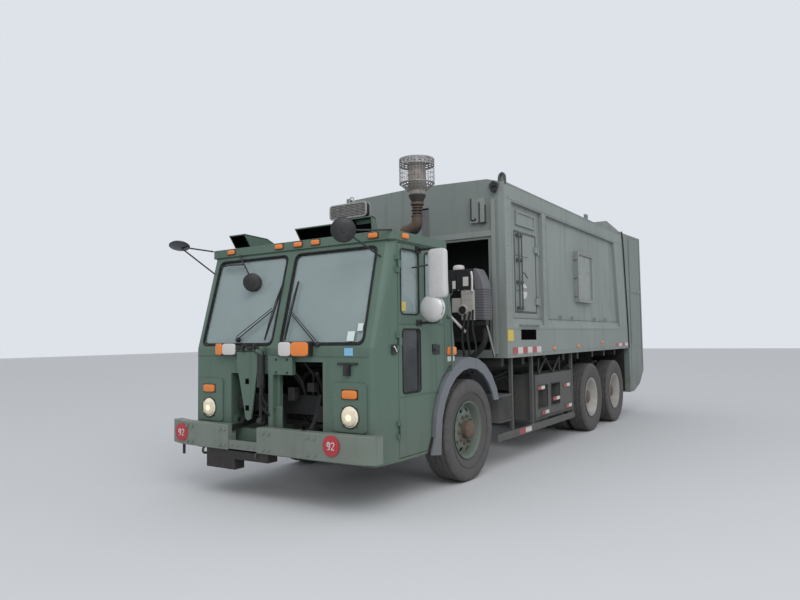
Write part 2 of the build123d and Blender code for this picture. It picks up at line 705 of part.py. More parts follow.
driver_x = 878.0
wheel_place = Pos(driver_x, -1235, 1500) * Rot(-28, 0, 0)
ring_radius = 215.0
steering = extrude(RegularPolygon(ring_radius + 15, 16) - RegularPolygon(ring_radius - 15, 16), 13, both=True)
steering += round_stock(62, 40, False)
for turn in (90, 210, 330):
    steering += Rot(0, 0, turn) * Pos(ring_radius / 2 + 10, 0, 0) * Box(ring_radius - 20, 34, 16)
steering = wheel_place * steering
steering += bar((driver_x, -1235, 1500), (driver_x, -1235 - 205, 1500 - 385), 30) - dash
column = steering.solids().sort_by(SortBy.VOLUME)[-1]
keep("dashboard", dash, column)

# Seats stand on the arches' tops
seat_base = flare_centre_z + arch_radius + tunnel_wall
seat_pieces = []
for x in (driver_x, -driver_x):
    seat = block(x - 190, x + 190, -860, -480, seat_base - 200, seat_base + 90)
    seat += block(x - 235, x + 235, -960, -480, seat_base + 90, seat_base + 210)
    seat += along_x([(-600, seat_base + 210), (-480, seat_base + 210), (-475, 2060), (-540, 2100), (-600, 2060)], x - 225, x + 225)
    seat -= arch_well(arch_radius + tunnel_wall, *sorted((0.5 * x, 1.6 * x)))
    seat_pieces.append(seat)
keep("seats", *seat_pieces)

# Lamps in the front wall
lamp_x = 905.0
lamp_z = 830.0
lamp_radius = 92.0
bezel_half = 196.0
bezel_depth = 14.0
amber_z = 1027.0
panel_face = cab_front_y - bezel_depth
bezel_in, bezel_out = lamp_x - bezel_half, lamp_x + bezel_half - 18
bezel = along_y(soft_corners([(bezel_in, 702), (bezel_out, 702), (bezel_out, 1128), (bezel_in, 1128)], 34.0), panel_face, cab_front_y)
bezel -= rod_y(lamp_radius, lamp_x, panel_face - 5, cab_front_y + 5, lamp_z)
bezel -= block(lamp_x - 88, lamp_x + 88, panel_face - 5, cab_front_y + 5, amber_z - 42, amber_z + 42)
headlamp = rod_y(lamp_radius, lamp_x, panel_face - 6, cab_front_y, lamp_z)
headlamp += rod_y(lamp_radius - 14, lamp_x, panel_face - 16, panel_face, lamp_z)
keep("headlamps", both_sides(bezel), both_sides(headlamp))

visor_face = windshield_top_y - roof_overhang
amber = []
for side in (1, -1):
    x0, x1 = sorted((side * (lamp_x - 86), side * (lamp_x + 86)))
    amber.append(along_y(soft_corners([(x0, amber_z - 40), (x1, amber_z - 40), (x1, amber_z + 40), (x0, amber_z + 40)], 26.0, 2),
                         panel_face - 20, cab_front_y))
    amber.append(block(*sorted((side * cab_half_width, side * (cab_half_width + 22))), -480, -345, 1330, 1420))
    amber.append(block(*sorted((side * (cab_half_width + roof_overhang), side * (cab_half_width + roof_overhang + 22))),
                       -1290, -1190, cab_top + 14, cab_top + 62))
for x in (-873.0, -180.0, 75.0, 300.0, 985.0):
    amber.append(block(x - 48, x + 48, visor_face - 26, visor_face, cab_top + 14, cab_top + 66))

# Lamp pair on the lift's cross shaft, clear and amber in one housing
lift_x = -262.0
lift_lamps = []
for x0, x1 in ((50.0, 413.0), (-822.0, -536.0)):
    lift_lamps.append(along_y(soft_corners([(x0, 1368), (x1, 1368), (x1, 1480), (x0, 1480)], 22.0, 2), cab_front_y - 76, cab_front_y))
keep("marker_lamps", *amber, *lift_lamps)

# Lift frame in front of the recess: cross shaft, tapered plate, post, box and ram
plate_face = cab_front_y - 62.0
shaft_y = cab_front_y - 40.0
lift = rod_x(24, lift_x - 265, lift_x + 150, shaft_y, 1412)
lift += rod_x(40, lift_x + 84, lift_x + 150, shaft_y, 1404)
for x in (lift_x - 240, lift_x + 96):
    lift += block(x - 20, x + 20, cab_front_y - 70, cab_front_y, 1380, 1446)
tapered = along_y([
    (lift_x - 232, 1366), (lift_x - 232, 1400), (lift_x + 40, 1400), (lift_x + 40, 1366), (lift_x - 52, 780), (lift_x - 112, 700),
    (lift_x - 150, 780),
], plate_face, plate_face + 16)
for z in (1105.0, 875.0):
    tapered -= block(lift_x - 124, lift_x - 74, plate_face - 5, plate_face + 30, z - 28, z + 28)
lift += tapered
lift += along_x([(plate_face + 10, 700), (cab_front_y, 1120), (cab_front_y, 1200), (plate_face + 10, 1400)],
                lift_x - 232, lift_x - 218)
lift += rod_z(30, lift_x + 116, shaft_y, 1010, 1404)
lift += rod_z(17, lift_x + 116, shaft_y, 720, 1012)
lift += rod_x(26, lift_x + 80, lift_x + 200, shaft_y, 724)
lift += along_y([(lift_x + 180, 1346), (lift_x + 186, 660), (lift_x + 212, 660), (lift_x + 216, 1346)], cab_front_y - 50, cab_front_y)
lift += block(lift_x + 180, lift_x + 486, cab_front_y - 46, cab_front_y, 1186, 1346)
lift += block(lift_x + 180, lift_x + 330, cab_front_y - 46, cab_front_y, 672, 892)
lift -= block(lift_x + 216, lift_x + 300, cab_front_y - 60, cab_front_y + 5, 712, 910)
keep("lift_frame", lift)

# Roof scoops: raked hoods open at the front
scoops = []
for x, y, half, length, height in ((-925.0, -1390.0, 120.0, 620.0, 150.0), (140.0, -1300.0, 240.0, 480.0, 170.0),
                                   (560.0, -900.0, 140.0, 420.0, 190.0)):
    base = roof_top
    outer = along_x([(y + 90, base), (y, base + height), (y + length * 0.5, base + height - 20), (y + length, base)], x - half, x + half)
    mouth = along_x([(y + 92, base + 14), (y - 2, base + height - 14), (y + length * 0.46, base + height - 34),
                     (y + length * 0.8, base + 14)], x - half + 12, x + half - 12)
    mouth += along_x([(y + 60, base + 14), (y - 40, base + height - 14), (y + 60, base + height - 14), (y + 100, base + 14)],
                     x - half + 12, x + half - 12)
    scoops.append(outer - mouth)
keep("roof_scoops", *scoops)

# Wipers: a pantograph arm from each cowl pivot to a blade by the centre post
def on_windshield(x, z, stand_off):
    """Point in front of the raked windshield plane."""
    return (x, cab_front_y + (z - cab_belt) * windshield_rake - stand_off, z)


wipers = []
for side in (1, -1):
    pivot = on_windshield(side * 518, 1512, 34)
    wrist = on_windshield(side * 118, 1780, 34)
    wiper = bar(pivot, wrist, 7)
    wiper += bar(on_windshield(side * 128, 1512, 34), on_windshield(side * 88, 2072, 34), 9)
    wiper += bar(on_windshield(side * 518, 1452, -6), pivot, 10) - shell - pane_left - mirrored(pane_left) - lift
    wipers.append(wiper)
keep("wipers", *wipers)

# Corner mirrors: round heads on two-legged arms from the roof's front corners
def corner_mirror(head_at, tilt, root, foot):
    """Disc head, main arm to the roof band and a brace down to the pillar."""
    disc = Plane(origin=Vector(*head_at), z_dir=Vector(*tilt)) * round_stock(134, 26, False)
    return disc + bar(head_at, root, 9) + bar(head_at, foot, 8)


root_y = windshield_top_y - roof_overhang + 40
near_mirror = corner_mirror((985, -1700, 2448), (-0.35, -1.0, -0.1), (1178, root_y, cab_top + 60), (1092, -1486, 2230))
far_mirror = corner_mirror((-1240, -1720, 2500), (0.15, 0.55, 1.0), (-1178, root_y, cab_top + 60), (-1092, -1486, 2230))
cross_mirror = Plane(origin=Vector(-470, -1600, 2075), z_dir=Vector(0.1, 0.75, 0.65)) * round_stock(104, 22, False)
cross_mirror += bar((-470, -1600, 2080), (-640, -1450, cab_top + 20), 8)
keep("corner_mirrors", *[one - roof - shell for one in (near_mirror, far_mirror, cross_mirror)])

# Cab mounts: plates from the rails carry the tilt pins and the bumper, posts carry the cab's rear
mount_in, mount_out = rail_outer_x, rail_outer_x + 40.0
mount = along_x([
    (-1380, 1000), (-1380, 790), (-1540, 684), (-1700, 666), (-1815, 640), (-1815, 700), (-1700, 704), (-1650, 764),
    (-1560, 1000),
], mount_in, mount_out)
mount += rod_x(tilt_radius, mount_out - 5, tunnel_half_width - 4, tilt_y, tilt_z)
rest = block(rail_outer_x - rail_flange, rail_outer_x, -430, -360, rail_top, tunnel_top - 2)
frame += mount + mirrored(mount) + rest + mirrored(rest)
keep("frame_rails", frame)

# Front bumper: two swept channel halves, the lower channel between them and the box below
bumper_low, bumper_high = 465.0, 700.0
bumper_rear_y = -1815.0
gap_x0, gap_x1 = -452.0, -67.0
bumper_end_x = 1250.0


def bumper_half(inner_x):
    """Channel open to the rear; its end sweeps back round the corner."""
    face = -front_overhang
    outer = along_z([
        (inner_x, face), (700, face), (1120, face + 14), (bumper_end_x, face + 62), (bumper_end_x, bumper_rear_y + 34),
        (1110, bumper_rear_y + 14), (700, bumper_rear_y), (inner_x, bumper_rear_y),
    ], bumper_low, bumper_high)
    inner = along_z([
        (inner_x - 20, face + 12), (700, face + 12), (1116, face + 26), (bumper_end_x - 12, face + 70),
        (bumper_end_x - 12, bumper_rear_y + 60), (inner_x - 20, bumper_rear_y + 60),
    ], bumper_low + 12, bumper_high - 12)
    return outer - inner


bumper = bumper_half(gap_x1) + mirrored(bumper_half(-gap_x0))
bumper += block(gap_x0 - 12, gap_x1 + 12, -front_overhang + 12, bumper_rear_y, bumper_low, 560)
bumper += block(-916, 8, -front_overhang + 20, -1720, 380, bumper_low)
keep("front_bumper", bumper)

# Front wheel flares: a flat ring segment with its tunnel skin, carried by two arms from the rail
ring_out = flare_outer_radius
flare_in_x = flare_outer_x - flare_thickness
ring = rod_x(ring_out, flare_in_x, flare_outer_x, flare_centre_y, flare_centre_z)
ring -= rod_x(flare_inner_radius, flare_in_x - 5, flare_outer_x + 5, flare_centre_y, flare_centre_z)
skin = rod_x(ring_out, 950, flare_in_x, flare_centre_y, flare_centre_z)
skin -= rod_x(ring_out - 12, 945, flare_in_x, flare_centre_y, flare_centre_z)
flare = ring + skin
flare -= block(900, 1300, flare_centre_y, 900, -300, flare_centre_z + 236)
flare -= block(900, 1300, -900, flare_centre_y, -300, flare_centre_z)
flare += along_x([(-778, flare_centre_z), (-845, 400), (-677, 376), (-662, flare_centre_z)], flare_in_x, flare_outer_x)
for arm_y, arm_z in ((-688.0, 800.0), (590.0, 850.0)):
    flare += rod_x(22, rail_outer_x, flare_in_x, arm_y, arm_z)
keep("front_fenders", both_sides(flare))

# Exhaust: silencer on the rail, stack with a crossover, cone and perforated cage
stack_x, stack_y = 645.0, -130.0
exhaust_x = 464.0
exhaust = rod_z(90, exhaust_x, stack_y, rail_top, 2000) + rod_z(50, exhaust_x, stack_y, 2000, 2700)
exhaust += bar((exhaust_x, stack_y, 2690), (stack_x, stack_y, 2670), 49)
exhaust += rod_z(55, stack_x, stack_y, 2640, 3000)
exhaust += Pos(stack_x, stack_y, 0) * flat_sided([(3000, 54), (3080, 96)], 12)
cage = rod_z(196, stack_x, stack_y, 3080, 3490) - rod_z(186, stack_x, stack_y, 3095, 3495)
keep("exhaust", exhaust, cage)

# Air intake on the right, cooler rack and air cleaner on the left, all behind the cab
intake = block(-rail_outer_x, -330, -230, -70, rail_top, 2890) + block(-595, -55, -290, 10, 2890, 3115)
keep("air_intake", intake)
rack = block(rail_outer_x - rail_flange, rail_outer_x, 520, 600, rail_top, 1640)
rack += mirrored(rack) + block(-rail_outer_x, 1136, 520, 600, 1640, 1704)
rack += block(700, 1022, 470, 770, 1704, 2057) + block(1022, 1136, 500, 700, 1704, 2287)
cleaner = block(651, 978, 480, 760, 2057, 2300) + rod_z(66, 746, 620, 2300, 2345)
keep("cooler_rack", rack, cleaner)

# Underbody boxes and tanks, hung on the rails' outer faces
battery = block(600, body_wall_x, 730, 1080, 511, 825) + block(rail_outer_x, 600, 780, 1030, 770, 825)
step_box = block(880, body_wall_x, 1840, 3250, 420, 1000) + block(rail_outer_x, 880, 2000, 2080, 780, 980)
step_box += block(rail_outer_x, 880, 3010, 3090, 780, 980)
for y in (1930.0, 2400.0):
    step_box -= block(1050, body_wall_x + 5, y, y + 330, 560, 860)
keep("side_boxes", battery, step_box)
tank = along_y(soft_corners([(-1115, 440), (-500, 440), (-500, 990), (-1115, 990)], 110.0), 1500, 2900)
tank += block(-510, -rail_outer_x, 1700, 1780, 780, 980) + block(-510, -rail_outer_x, 2640, 2720, 780, 980)
air_tank = rod_y(130, -(rail_outer_x + 150), 760, 1320, 790)
air_tank += block(-rail_outer_x - 150, -rail_outer_x, 1000, 1060, 790, 950)
keep("tanks", tank, air_tank)

# Side guards: a tube low along each side on posts from the body floor, and a light truss above
guard_x = 1150.0
guard = rod_y(42, guard_x, 789, 3335, 330)
for y in (1120.0, 1760.0, 3290.0):
    guard += block(guard_x - 20, guard_x + 20, y, y + 40, 330, body_bottom)
keep("side_guards", both_sides(guard))

mud = block(612, 1212, 6084, 6096, 473, body_bottom)
keep("mud_flaps", both_sides(mud))

# Body subframe: sills along the rails and cross bearers under the floor
sill = block(rail_outer_x - rail_flange, rail_outer_x, body_front_y, 6380, rail_top, body_bottom)
subframe = sill + mirrored(sill)
for y in (940.0, 1560.0, 2300.0, 3060.0, 3700.0, 4444.0, 5100.0, 5764.0, 6280.0):
    subframe += block(-1120, 1120, y, y + 80, body_bottom - 105, body_bottom)
keep("body_subframe", subframe)


def rake_y(z):
    """Rear end of the body at one level."""
    share = (z - body_bottom) / (rake_top - body_bottom)
    return body_rear_bottom_y + (body_rear_top_y - body_rear_bottom_y) * share


# Load body: one skin with a crowned roof, open at the rear along the rake
crown_z = body_side_top + 54.0
skin_outer = along_y([
    (-body_wall_x, body_bottom), (body_wall_x, body_bottom), (body_wall_x, body_side_top), (1000, crown_z),
    (0, body_crown), (-1000, crown_z), (-body_wall_x, body_side_top),
], body_front_y, 6500)
wall_in = body_wall_x - body_wall
skin_inner = along_y([
    (-wall_in, body_floor), (wall_in, body_floor), (wall_in, body_side_top - body_wall), (1000, crown_z - body_wall),
    (0, body_crown - body_wall), (-1000, crown_z - body_wall), (-wall_in, body_side_top - body_wall),
], body_front_y + body_wall, 6600)
hump = along_x([(4339, body_side_top - 20), (5334, 3522), (body_rear_top_y, 3441), (body_rear_top_y, body_side_top - 20)],
               -body_wall_x, body_wall_x)
body = skin_outer + hump - skin_inner
body -= along_x([(rake_y(1000), 1000), (rake_y(3700), 3700), (7000, 3700), (7000, 1000)], -1300, 1300)
body -= block(-1005, 1005, body_front_y - 5, body_front_y + body_wall + 5, 1350, 2690)
access = (1245.0, 1960.0, 1800.0, 2833.0)
body -= block(wall_in - 5, body_wall_x + 5, access[0], access[1], access[2], access[3])
roof_start = body_side_top - body_wall
body_panels = [
    # name, half width, lower edge, upper edge; the side walls are what lies outside the floor
    ("body_floor", wall_in, body_bottom, body_floor),
    ("body_front_wall", wall_in, body_floor, roof_start),
    ("body_roof", body_wall_x, roof_start, 3600.0),
]
walls = body
for name, half, low, high in body_panels:
    panel = block(-half, half, body_front_y, 6500, low, high)
    keep(name, body & panel)
    walls = walls - panel
keep("body_sides", walls)

# Outer frame of the body: posts, sill with a bevelled ledge and top rail around the wall panels
pocket_top = body_side_top - top_rail_drop
post_front = 2090.0
post_rear = 2240.0


def side_frame():
    """Frame plate on the left wall with its two panel pockets cut out."""
    plate = along_x([
        (body_front_y, body_bottom), (rake_y(body_bottom), body_bottom), (rake_y(body_side_top), body_side_top),
        (body_front_y, body_side_top),
    ], body_wall_x, body_half_width)
    rear_low = rake_y(ledge_top) - rear_post_width
    rear_high = rake_y(pocket_top) - rear_post_width
    for low_front, low_rear, high_rear in ((body_front_y + corner_post_width, post_front, post_front),
                                           (post_rear, rear_low, rear_high)):
        plate -= along_x([(low_front, ledge_top), (low_rear, ledge_top), (high_rear, pocket_top), (low_front, pocket_top)],
                         body_wall_x - 1, body_half_width + 1)
        plate -= along_y([(body_wall_x, ledge_top), (body_half_width + 1, sill_top), (body_half_width + 1, ledge_top + 1)],
                         low_front, low_rear)
    return plate


gate_pin_y, gate_pin_z = 6150.0, 3380.0
ear_in, ear_out = 1190.0, gate_half_width
frame_plate = side_frame()
frame_plate += rod_x(50, ear_in, ear_out, gate_pin_y, gate_pin_z) + block(ear_in, ear_out, 6040, gate_pin_y, gate_pin_z - 50, gate_pin_z - 14)
frame_plate += rod_x(gate_hinge_radius, 1132, ear_in + 5, gate_pin_y, gate_pin_z)
keep("body_frame", both_sides(frame_plate))

# Access door in the left wall, hinged at its rear edge
leaf_y0, leaf_y1, leaf_z0, leaf_z1 = access[0] + 6, access[1] - 6, access[2] + 6, access[3] - 6
access_pin_x = body_wall_x + 14.0
access_pin_y = access[1] + 4.0
leaf = block(wall_in, body_wall_x, leaf_y0, leaf_y1, leaf_z0, leaf_z1)
for z in (1960.0, 2640.0):
    leaf += rod_z(12, access_pin_x, access_pin_y, z - 40, z + 40)
    leaf += block(body_wall_x, access_pin_x + 12, leaf_y1 - 60, leaf_y1, z - 40, z + 40)
    leaf += block(body_wall_x + 6, access_pin_x + 12, leaf_y1, access_pin_y, z - 40, z + 40)
for z in (2100.0, 2540.0):
    leaf += block(body_wall_x, body_wall_x + 12, leaf_y0 + 40, leaf_y0 + 420, z - 20, z + 20)
keep("access_door", leaf)

eye_bore_radius = 22.0

# Fittings on the body: sign frame, plate frame over the access door, grab bar, hinge blocks, lifting eyes
sign = block(body_wall_x, 1250, 3500, 4215, 2015, 2785) - block(body_wall_x + 40, 1260, 3545, 4170, 2060, 2740)
fittings = [sign]
eyes = []
fittings.append(block(body_wall_x, 1204, 1300, 1900, 2900, 3080) - block(1192, 1210, 1324, 1876, 2924, 3056))
for z in (1960.0, 2640.0):
    fittings.append(block(body_wall_x, body_wall_x + 24, access_pin_y + 18, access_pin_y + 70, z - 60, z + 60))
for side in (1, -1):
    for y in (940.0, 4150.0):
        eye = block(*sorted((side * 1150, side * 1190)), y, y + 90, body_side_top - 10, body_side_top + 96)
        eye -= Pos(side * 1170, y + 45, body_side_top + 54) * Rot(0, 90, 0) * Cylinder(eye_bore_radius, 60)
        eyes.append(eye - body - frame_plate - mirrored(frame_plate))
    fittings.append(block(*sorted((side * 785, side * 982)), body_front_y - 40, body_front_y, 2896, 3190))
keep("body_fittings", *fittings)
keep("lifting_eyes", *eyes)

# Ejector panel standing across the load space, ready to slide rearwards
panel_y = 2300.0
ejector_half = wall_in - 20.0
ejector = along_x([
    (panel_y - 420, body_floor + 6), (panel_y + 20, body_floor + 6), (panel_y + 70, 1700), (panel_y + 20, 3240),
    (panel_y - 60, 3240), (panel_y - 60, 1500), (panel_y - 420, 1500),
], -ejector_half, ejector_half)
ejector -= block(-ejector_half + 60, ejector_half - 60, panel_y - 430, panel_y - 60, body_floor, 1440)
keep("ejector", ejector)

# Tailgate: side walls, roof, raked front edge, rear wall with the loading opening and the hopper below
gate_back = gate_rear_y - 20.0
gate_profile = [
    (rake_y(gate_top) + seal_gap + 6, gate_top - 44), (gate_back, gate_top), (gate_back, 800), (7151, 549), (6700, hopper_bottom),
    (6369 + seal_gap, hopper_bottom), (6434, 600), (rake_y(body_bottom) + seal_gap + 2, body_bottom),
]
room_profile = [
    (5900, gate_top - 94), (gate_back - gate_wall, gate_top - 48), (gate_back - gate_wall, 826), (7136, 594),
    (6696, hopper_bottom + 46), (6436, hopper_bottom + 46), (6482, 600), (6466, 1300), (5900, 1300),
]
gate_wall_in = gate_half_width - gate_wall
gate = along_x(gate_profile, -gate_half_width, gate_half_width)
gate -= along_x(room_profile, -gate_wall_in, gate_wall_in)
gate -= block(-1090, 1090, gate_back - gate_wall - 10, gate_back + 10, load_sill, load_lintel)
for side in (1, -1):
    x_notch = sorted((side * (ear_in - 6), side * (ear_out + 5)))
    gate -= rod_x(62, *x_notch, gate_pin_y, gate_pin_z)
    gate -= block(*x_notch, 6000, gate_pin_y, gate_pin_z - 70, gate_pin_z + 100)
    gate += rod_x(60, *sorted((side * 1120, side * (ear_in - 6))), gate_pin_y, gate_pin_z)
    gate += block(*sorted((side * 1120, side * (ear_in - 6))), gate_pin_y, gate_pin_y + 200, gate_pin_z - 60, gate_pin_z + 14)
    gate -= rod_x(gate_hinge_radius + hinge_clearance, *sorted((side * 1100, side * (ear_out + 5))), gate_pin_y, gate_pin_z, hole=True)

# Rear step and lamps
step = block(-1090, 1090, gate_back, gate_rear_y, load_sill - 60, load_sill - 10)
keep("tailgate_shell", gate + step)
lamps = []
for side in (1, -1):
    for z in (2450.0, 2560.0, 880.0):
        lamps.append(rod_y(48, side * 1130, gate_back, gate_rear_y, z))
keep("tail_lamps", *lamps)

# Packer inside the tailgate: carriage on its slope and the sweep blade hinged at the carriage's foot
slide_top = (6910.0, 3230.0)
slide_foot = (6700.0, 1990.0)
slide_length = sqrt((slide_top[0] - slide_foot[0]) ** 2 + (slide_top[1] - slide_foot[1]) ** 2)
packer_half = gate_wall_in - 24.0
carriage = along_x([(slide_foot[0] - 50, slide_foot[1]), (slide_foot[0] + 50, slide_foot[1]),
                    (slide_top[0] + 50, slide_top[1]), (slide_top[0] - 50, slide_top[1])], -packer_half, packer_half)
blade_pin_y, blade_pin_z = slide_foot[0], slide_foot[1] - 60.0
blade_pin_radius = 30.0
for x in (-900.0, 0.0, 900.0):
    carriage += block(x - 40, x + 40, blade_pin_y - 45, blade_pin_y + 45, blade_pin_z, slide_foot[1])
    carriage += rod_x(45, x - 40, x + 40, blade_pin_y, blade_pin_z)
    carriage += rod_x(blade_pin_radius, x - 130, x + 130, blade_pin_y, blade_pin_z)
keep("carriage", carriage)
blade = along_x([(blade_pin_y - 40, blade_pin_z - 60), (blade_pin_y + 40, blade_pin_z - 60), (blade_pin_y + 10, blade_pin_z - 420),
                 (blade_pin_y - 60, blade_pin_z - 700), (blade_pin_y - 110, blade_pin_z - 690), (blade_pin_y - 70, blade_pin_z - 400)],
                -packer_half, packer_half)
for x in (-995.0, -805.0, -95.0, 95.0, 805.0, 995.0):
    blade += rod_x(44, x - 30, x + 30, blade_pin_y, blade_pin_z)
    blade += block(x - 30, x + 30, blade_pin_y - 40, blade_pin_y + 40, blade_pin_z - 70, blade_pin_z)
    blade -= rod_x(blade_pin_radius + 1, x - 40, x + 40, blade_pin_y, blade_pin_z, hole=True)
keep("sweep_blade", blade)
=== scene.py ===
# %% [markdown]
# # A garbage truck, dressed in Blender
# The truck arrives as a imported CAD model: fifty-nine named pieces on moving bodies.
# This script keeps those pieces where they are, paints them, and adds what a
# person standing beside the truck would see: tread blocks, bolts, seals, hoses
# and lenses.  X points to the truck's left, Y to its rear and Z up.  Shapes are
# written in millimetres from the front axle, as on a drawing, and become metres
# when a mesh is made.

# %% Load the frame
import json
import math

import bmesh
import bpy
import numpy as np
from mathutils import Matrix, Vector


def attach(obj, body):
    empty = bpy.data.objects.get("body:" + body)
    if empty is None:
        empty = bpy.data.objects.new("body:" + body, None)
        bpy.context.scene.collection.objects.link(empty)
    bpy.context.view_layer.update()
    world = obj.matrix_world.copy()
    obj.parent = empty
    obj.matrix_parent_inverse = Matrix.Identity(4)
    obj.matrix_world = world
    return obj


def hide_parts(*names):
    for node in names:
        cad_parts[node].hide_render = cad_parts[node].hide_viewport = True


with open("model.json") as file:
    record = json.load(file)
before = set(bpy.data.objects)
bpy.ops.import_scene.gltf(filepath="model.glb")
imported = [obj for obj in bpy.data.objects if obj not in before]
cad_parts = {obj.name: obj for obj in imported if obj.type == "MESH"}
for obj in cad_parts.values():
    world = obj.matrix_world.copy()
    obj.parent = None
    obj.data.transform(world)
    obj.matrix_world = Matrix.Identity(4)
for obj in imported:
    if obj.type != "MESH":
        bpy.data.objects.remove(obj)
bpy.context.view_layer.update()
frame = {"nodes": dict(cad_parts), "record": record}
nodes = frame["nodes"]

# %% [markdown]
# ## The camera
# The photograph was taken by a person standing in front of the truck's left
# corner, with a phone's wide lens.  The camera's place was found by matching
# pairs of points that mirror each other across the cab, so here it is only
# written down: a place, a heading, a small tilt and the lens in pixels.

# %% Camera
AXLE_SHIFT = -2.8175                       # front axle along Y in the row frame
EYE = Vector((4.39848, -6.16610 + AXLE_SHIFT, 1.52244))
HEADING, TILT, ROLL, LENS_PIXELS = 0.585338, 0.056776, -0.013536, 647.6765


def camera_axes(heading, tilt, roll):
    """Right, up and forward unit vectors of a camera turned by three angles."""
    forward = Vector((-math.sin(heading) * math.cos(tilt), math.cos(heading) * math.cos(tilt),
                      math.sin(tilt)))
    right = forward.cross(Vector((0, 0, 1))).normalized()
    up = right.cross(forward)
    turned_right = right * math.cos(roll) + up * math.sin(roll)
    turned_up = up * math.cos(roll) - right * math.sin(roll)
    return turned_right, turned_up, forward


right, up, forward = camera_axes(HEADING, TILT, ROLL)
lens = bpy.data.cameras.new("camera")
lens.sensor_width = 36.0
lens.lens = LENS_PIXELS * 36.0 / 800
lens.clip_end = 200
camera = bpy.data.objects.new("camera", lens)
camera.matrix_world = Matrix((
    (right.x, up.x, -forward.x, EYE.x), (right.y, up.y, -forward.y, EYE.y),
    (right.z, up.z, -forward.z, EYE.z),
    (0, 0, 0, 1)))
bpy.context.scene.collection.objects.link(camera)
bpy.context.scene.camera = camera
print("lens", round(lens.lens, 2), "mm")

# %% [markdown]
# ## Shader arithmetic
# A dirty paint is arithmetic on noises: a mask times a tint, a roughness plus a
# mask, and so on.  Wrapping a socket in a small class lets those sums be written
# as ordinary Python, and each operator adds one Math node.

# %% Signals and finishes
class Signal:
    """A shader socket that can be added, subtracted and multiplied."""

    def __init__(self, finish, socket):
        self.finish, self.socket = finish, socket

    def _math(self, operation, a, b):
        return self.finish.add("ShaderNodeMath", {"operation": operation}, {0: a, 1: b})

    def __add__(self, other):
        return self._math("ADD", self, other)

    def __radd__(self, other):
        return self._math("ADD", other, self)

    def __rsub__(self, other):
        return self._math("SUBTRACT", other, self)

    def __mul__(self, other):
        return self._math("MULTIPLY", self, other)

    def __rmul__(self, other):
        return self._math("MULTIPLY", other, self)

    def ramp(self, low, high, out_low=0.0, out_high=1.0):
        """Smooth step of the signal from low to high, mapped to out_low..out_high."""
        return self.finish.add("ShaderNodeMapRange", {"interpolation_type": "SMOOTHSTEP"},
                               {"Value": self, "From Min": low, "From Max": high, "To Min": out_low,
                                "To Max": out_high})


class Finish:
    """One material: a Principled shader and the nodes that feed it."""

    def __init__(self, name, **constants):
        self.material = bpy.data.materials.new(name)
        self.material.use_nodes = True
        self.tree = self.material.node_tree
        self.shader = self.tree.nodes["Principled BSDF"]
        self._place = None
        for key, value in constants.items():
            self.shader.inputs[key.replace("_", " ")].default_value = value

    def add(self, kind, settings=None, inputs=None, output=0):
        """Add a node, set it up, feed its sockets and return one output."""
        node = self.tree.nodes.new(kind)
        for key, value in (settings or {}).items():
            setattr(node, key, value)
        for key, value in (inputs or {}).items():
            self.feed(node.inputs[key], value)
        return Signal(self, node.outputs[output])

    def feed(self, socket, value):
        """Link a signal to a socket or set the socket's constant."""
        if isinstance(value, Signal):
            self.tree.links.new(value.socket, socket)
        elif isinstance(value, (tuple, list)) and len(value) == 3 and socket.type == "RGBA":
            socket.default_value = (*value, 1.0)
        else:
            socket.default_value = value

    def set(self, name, value):
        """Feed one socket of the Principled shader."""
        self.feed(self.shader.inputs[name], value)
        return self

    @property
    def place(self):
        """Object coordinates, in metres."""
        if self._place is None:
            self._place = self.add("ShaderNodeTexCoord", output="Object")
        return self._place

    def stretched(self, scale):
        """Object coordinates scaled along each axis."""
        return self.add("ShaderNodeMapping", {}, {"Vector": self.place, "Scale": scale})

    def noise(self, scale, detail=3.0, roughness=0.55, at=None):
        """Cloudy noise between 0 and 1."""
        return self.add("ShaderNodeTexNoise", {"noise_dimensions": "3D"},
                        {"Vector": at or self.place, "Scale": scale, "Detail": detail,
                         "Roughness": roughness})

    def height(self, output="Z"):
        """One coordinate of the place as a number."""
        return self.add("ShaderNodeSeparateXYZ", {}, {0: self.place}, output=output)

    def mix(self, factor, a, b, blend="MIX"):
        """Two colours mixed by a factor."""
        node = self.tree.nodes.new("ShaderNodeMix")
        node.data_type, node.blend_type = "RGBA", blend
        self.feed(node.inputs[0], factor)
        self.feed(node.inputs[6], a)
        self.feed(node.inputs[7], b)
        return Signal(self, node.outputs[2])

    def bump(self, signal, distance, strength=1.0):
        """Raise the surface by a signal times a distance in metres."""
        return self.set("Normal",
                        self.add("ShaderNodeBump", {},
                                 {"Height": signal, "Distance": distance, "Strength": strength}))


print("signals ready")

# %% [markdown]
# ## Paint
# The truck wears flat olive green, deeper on the cab and greyer on the load
# body.  It is chalky, darker where rain runs, browner near the road, and the
# film shows orange peel.  Noises of different sizes do that: a large one for
# the fade, one stretched along Z for rain streaks, a fine one for specks, and
# one for road dust that fades out with height.

# %% Paint maker
ROAD_DUST = (0.150, 0.135, 0.115)


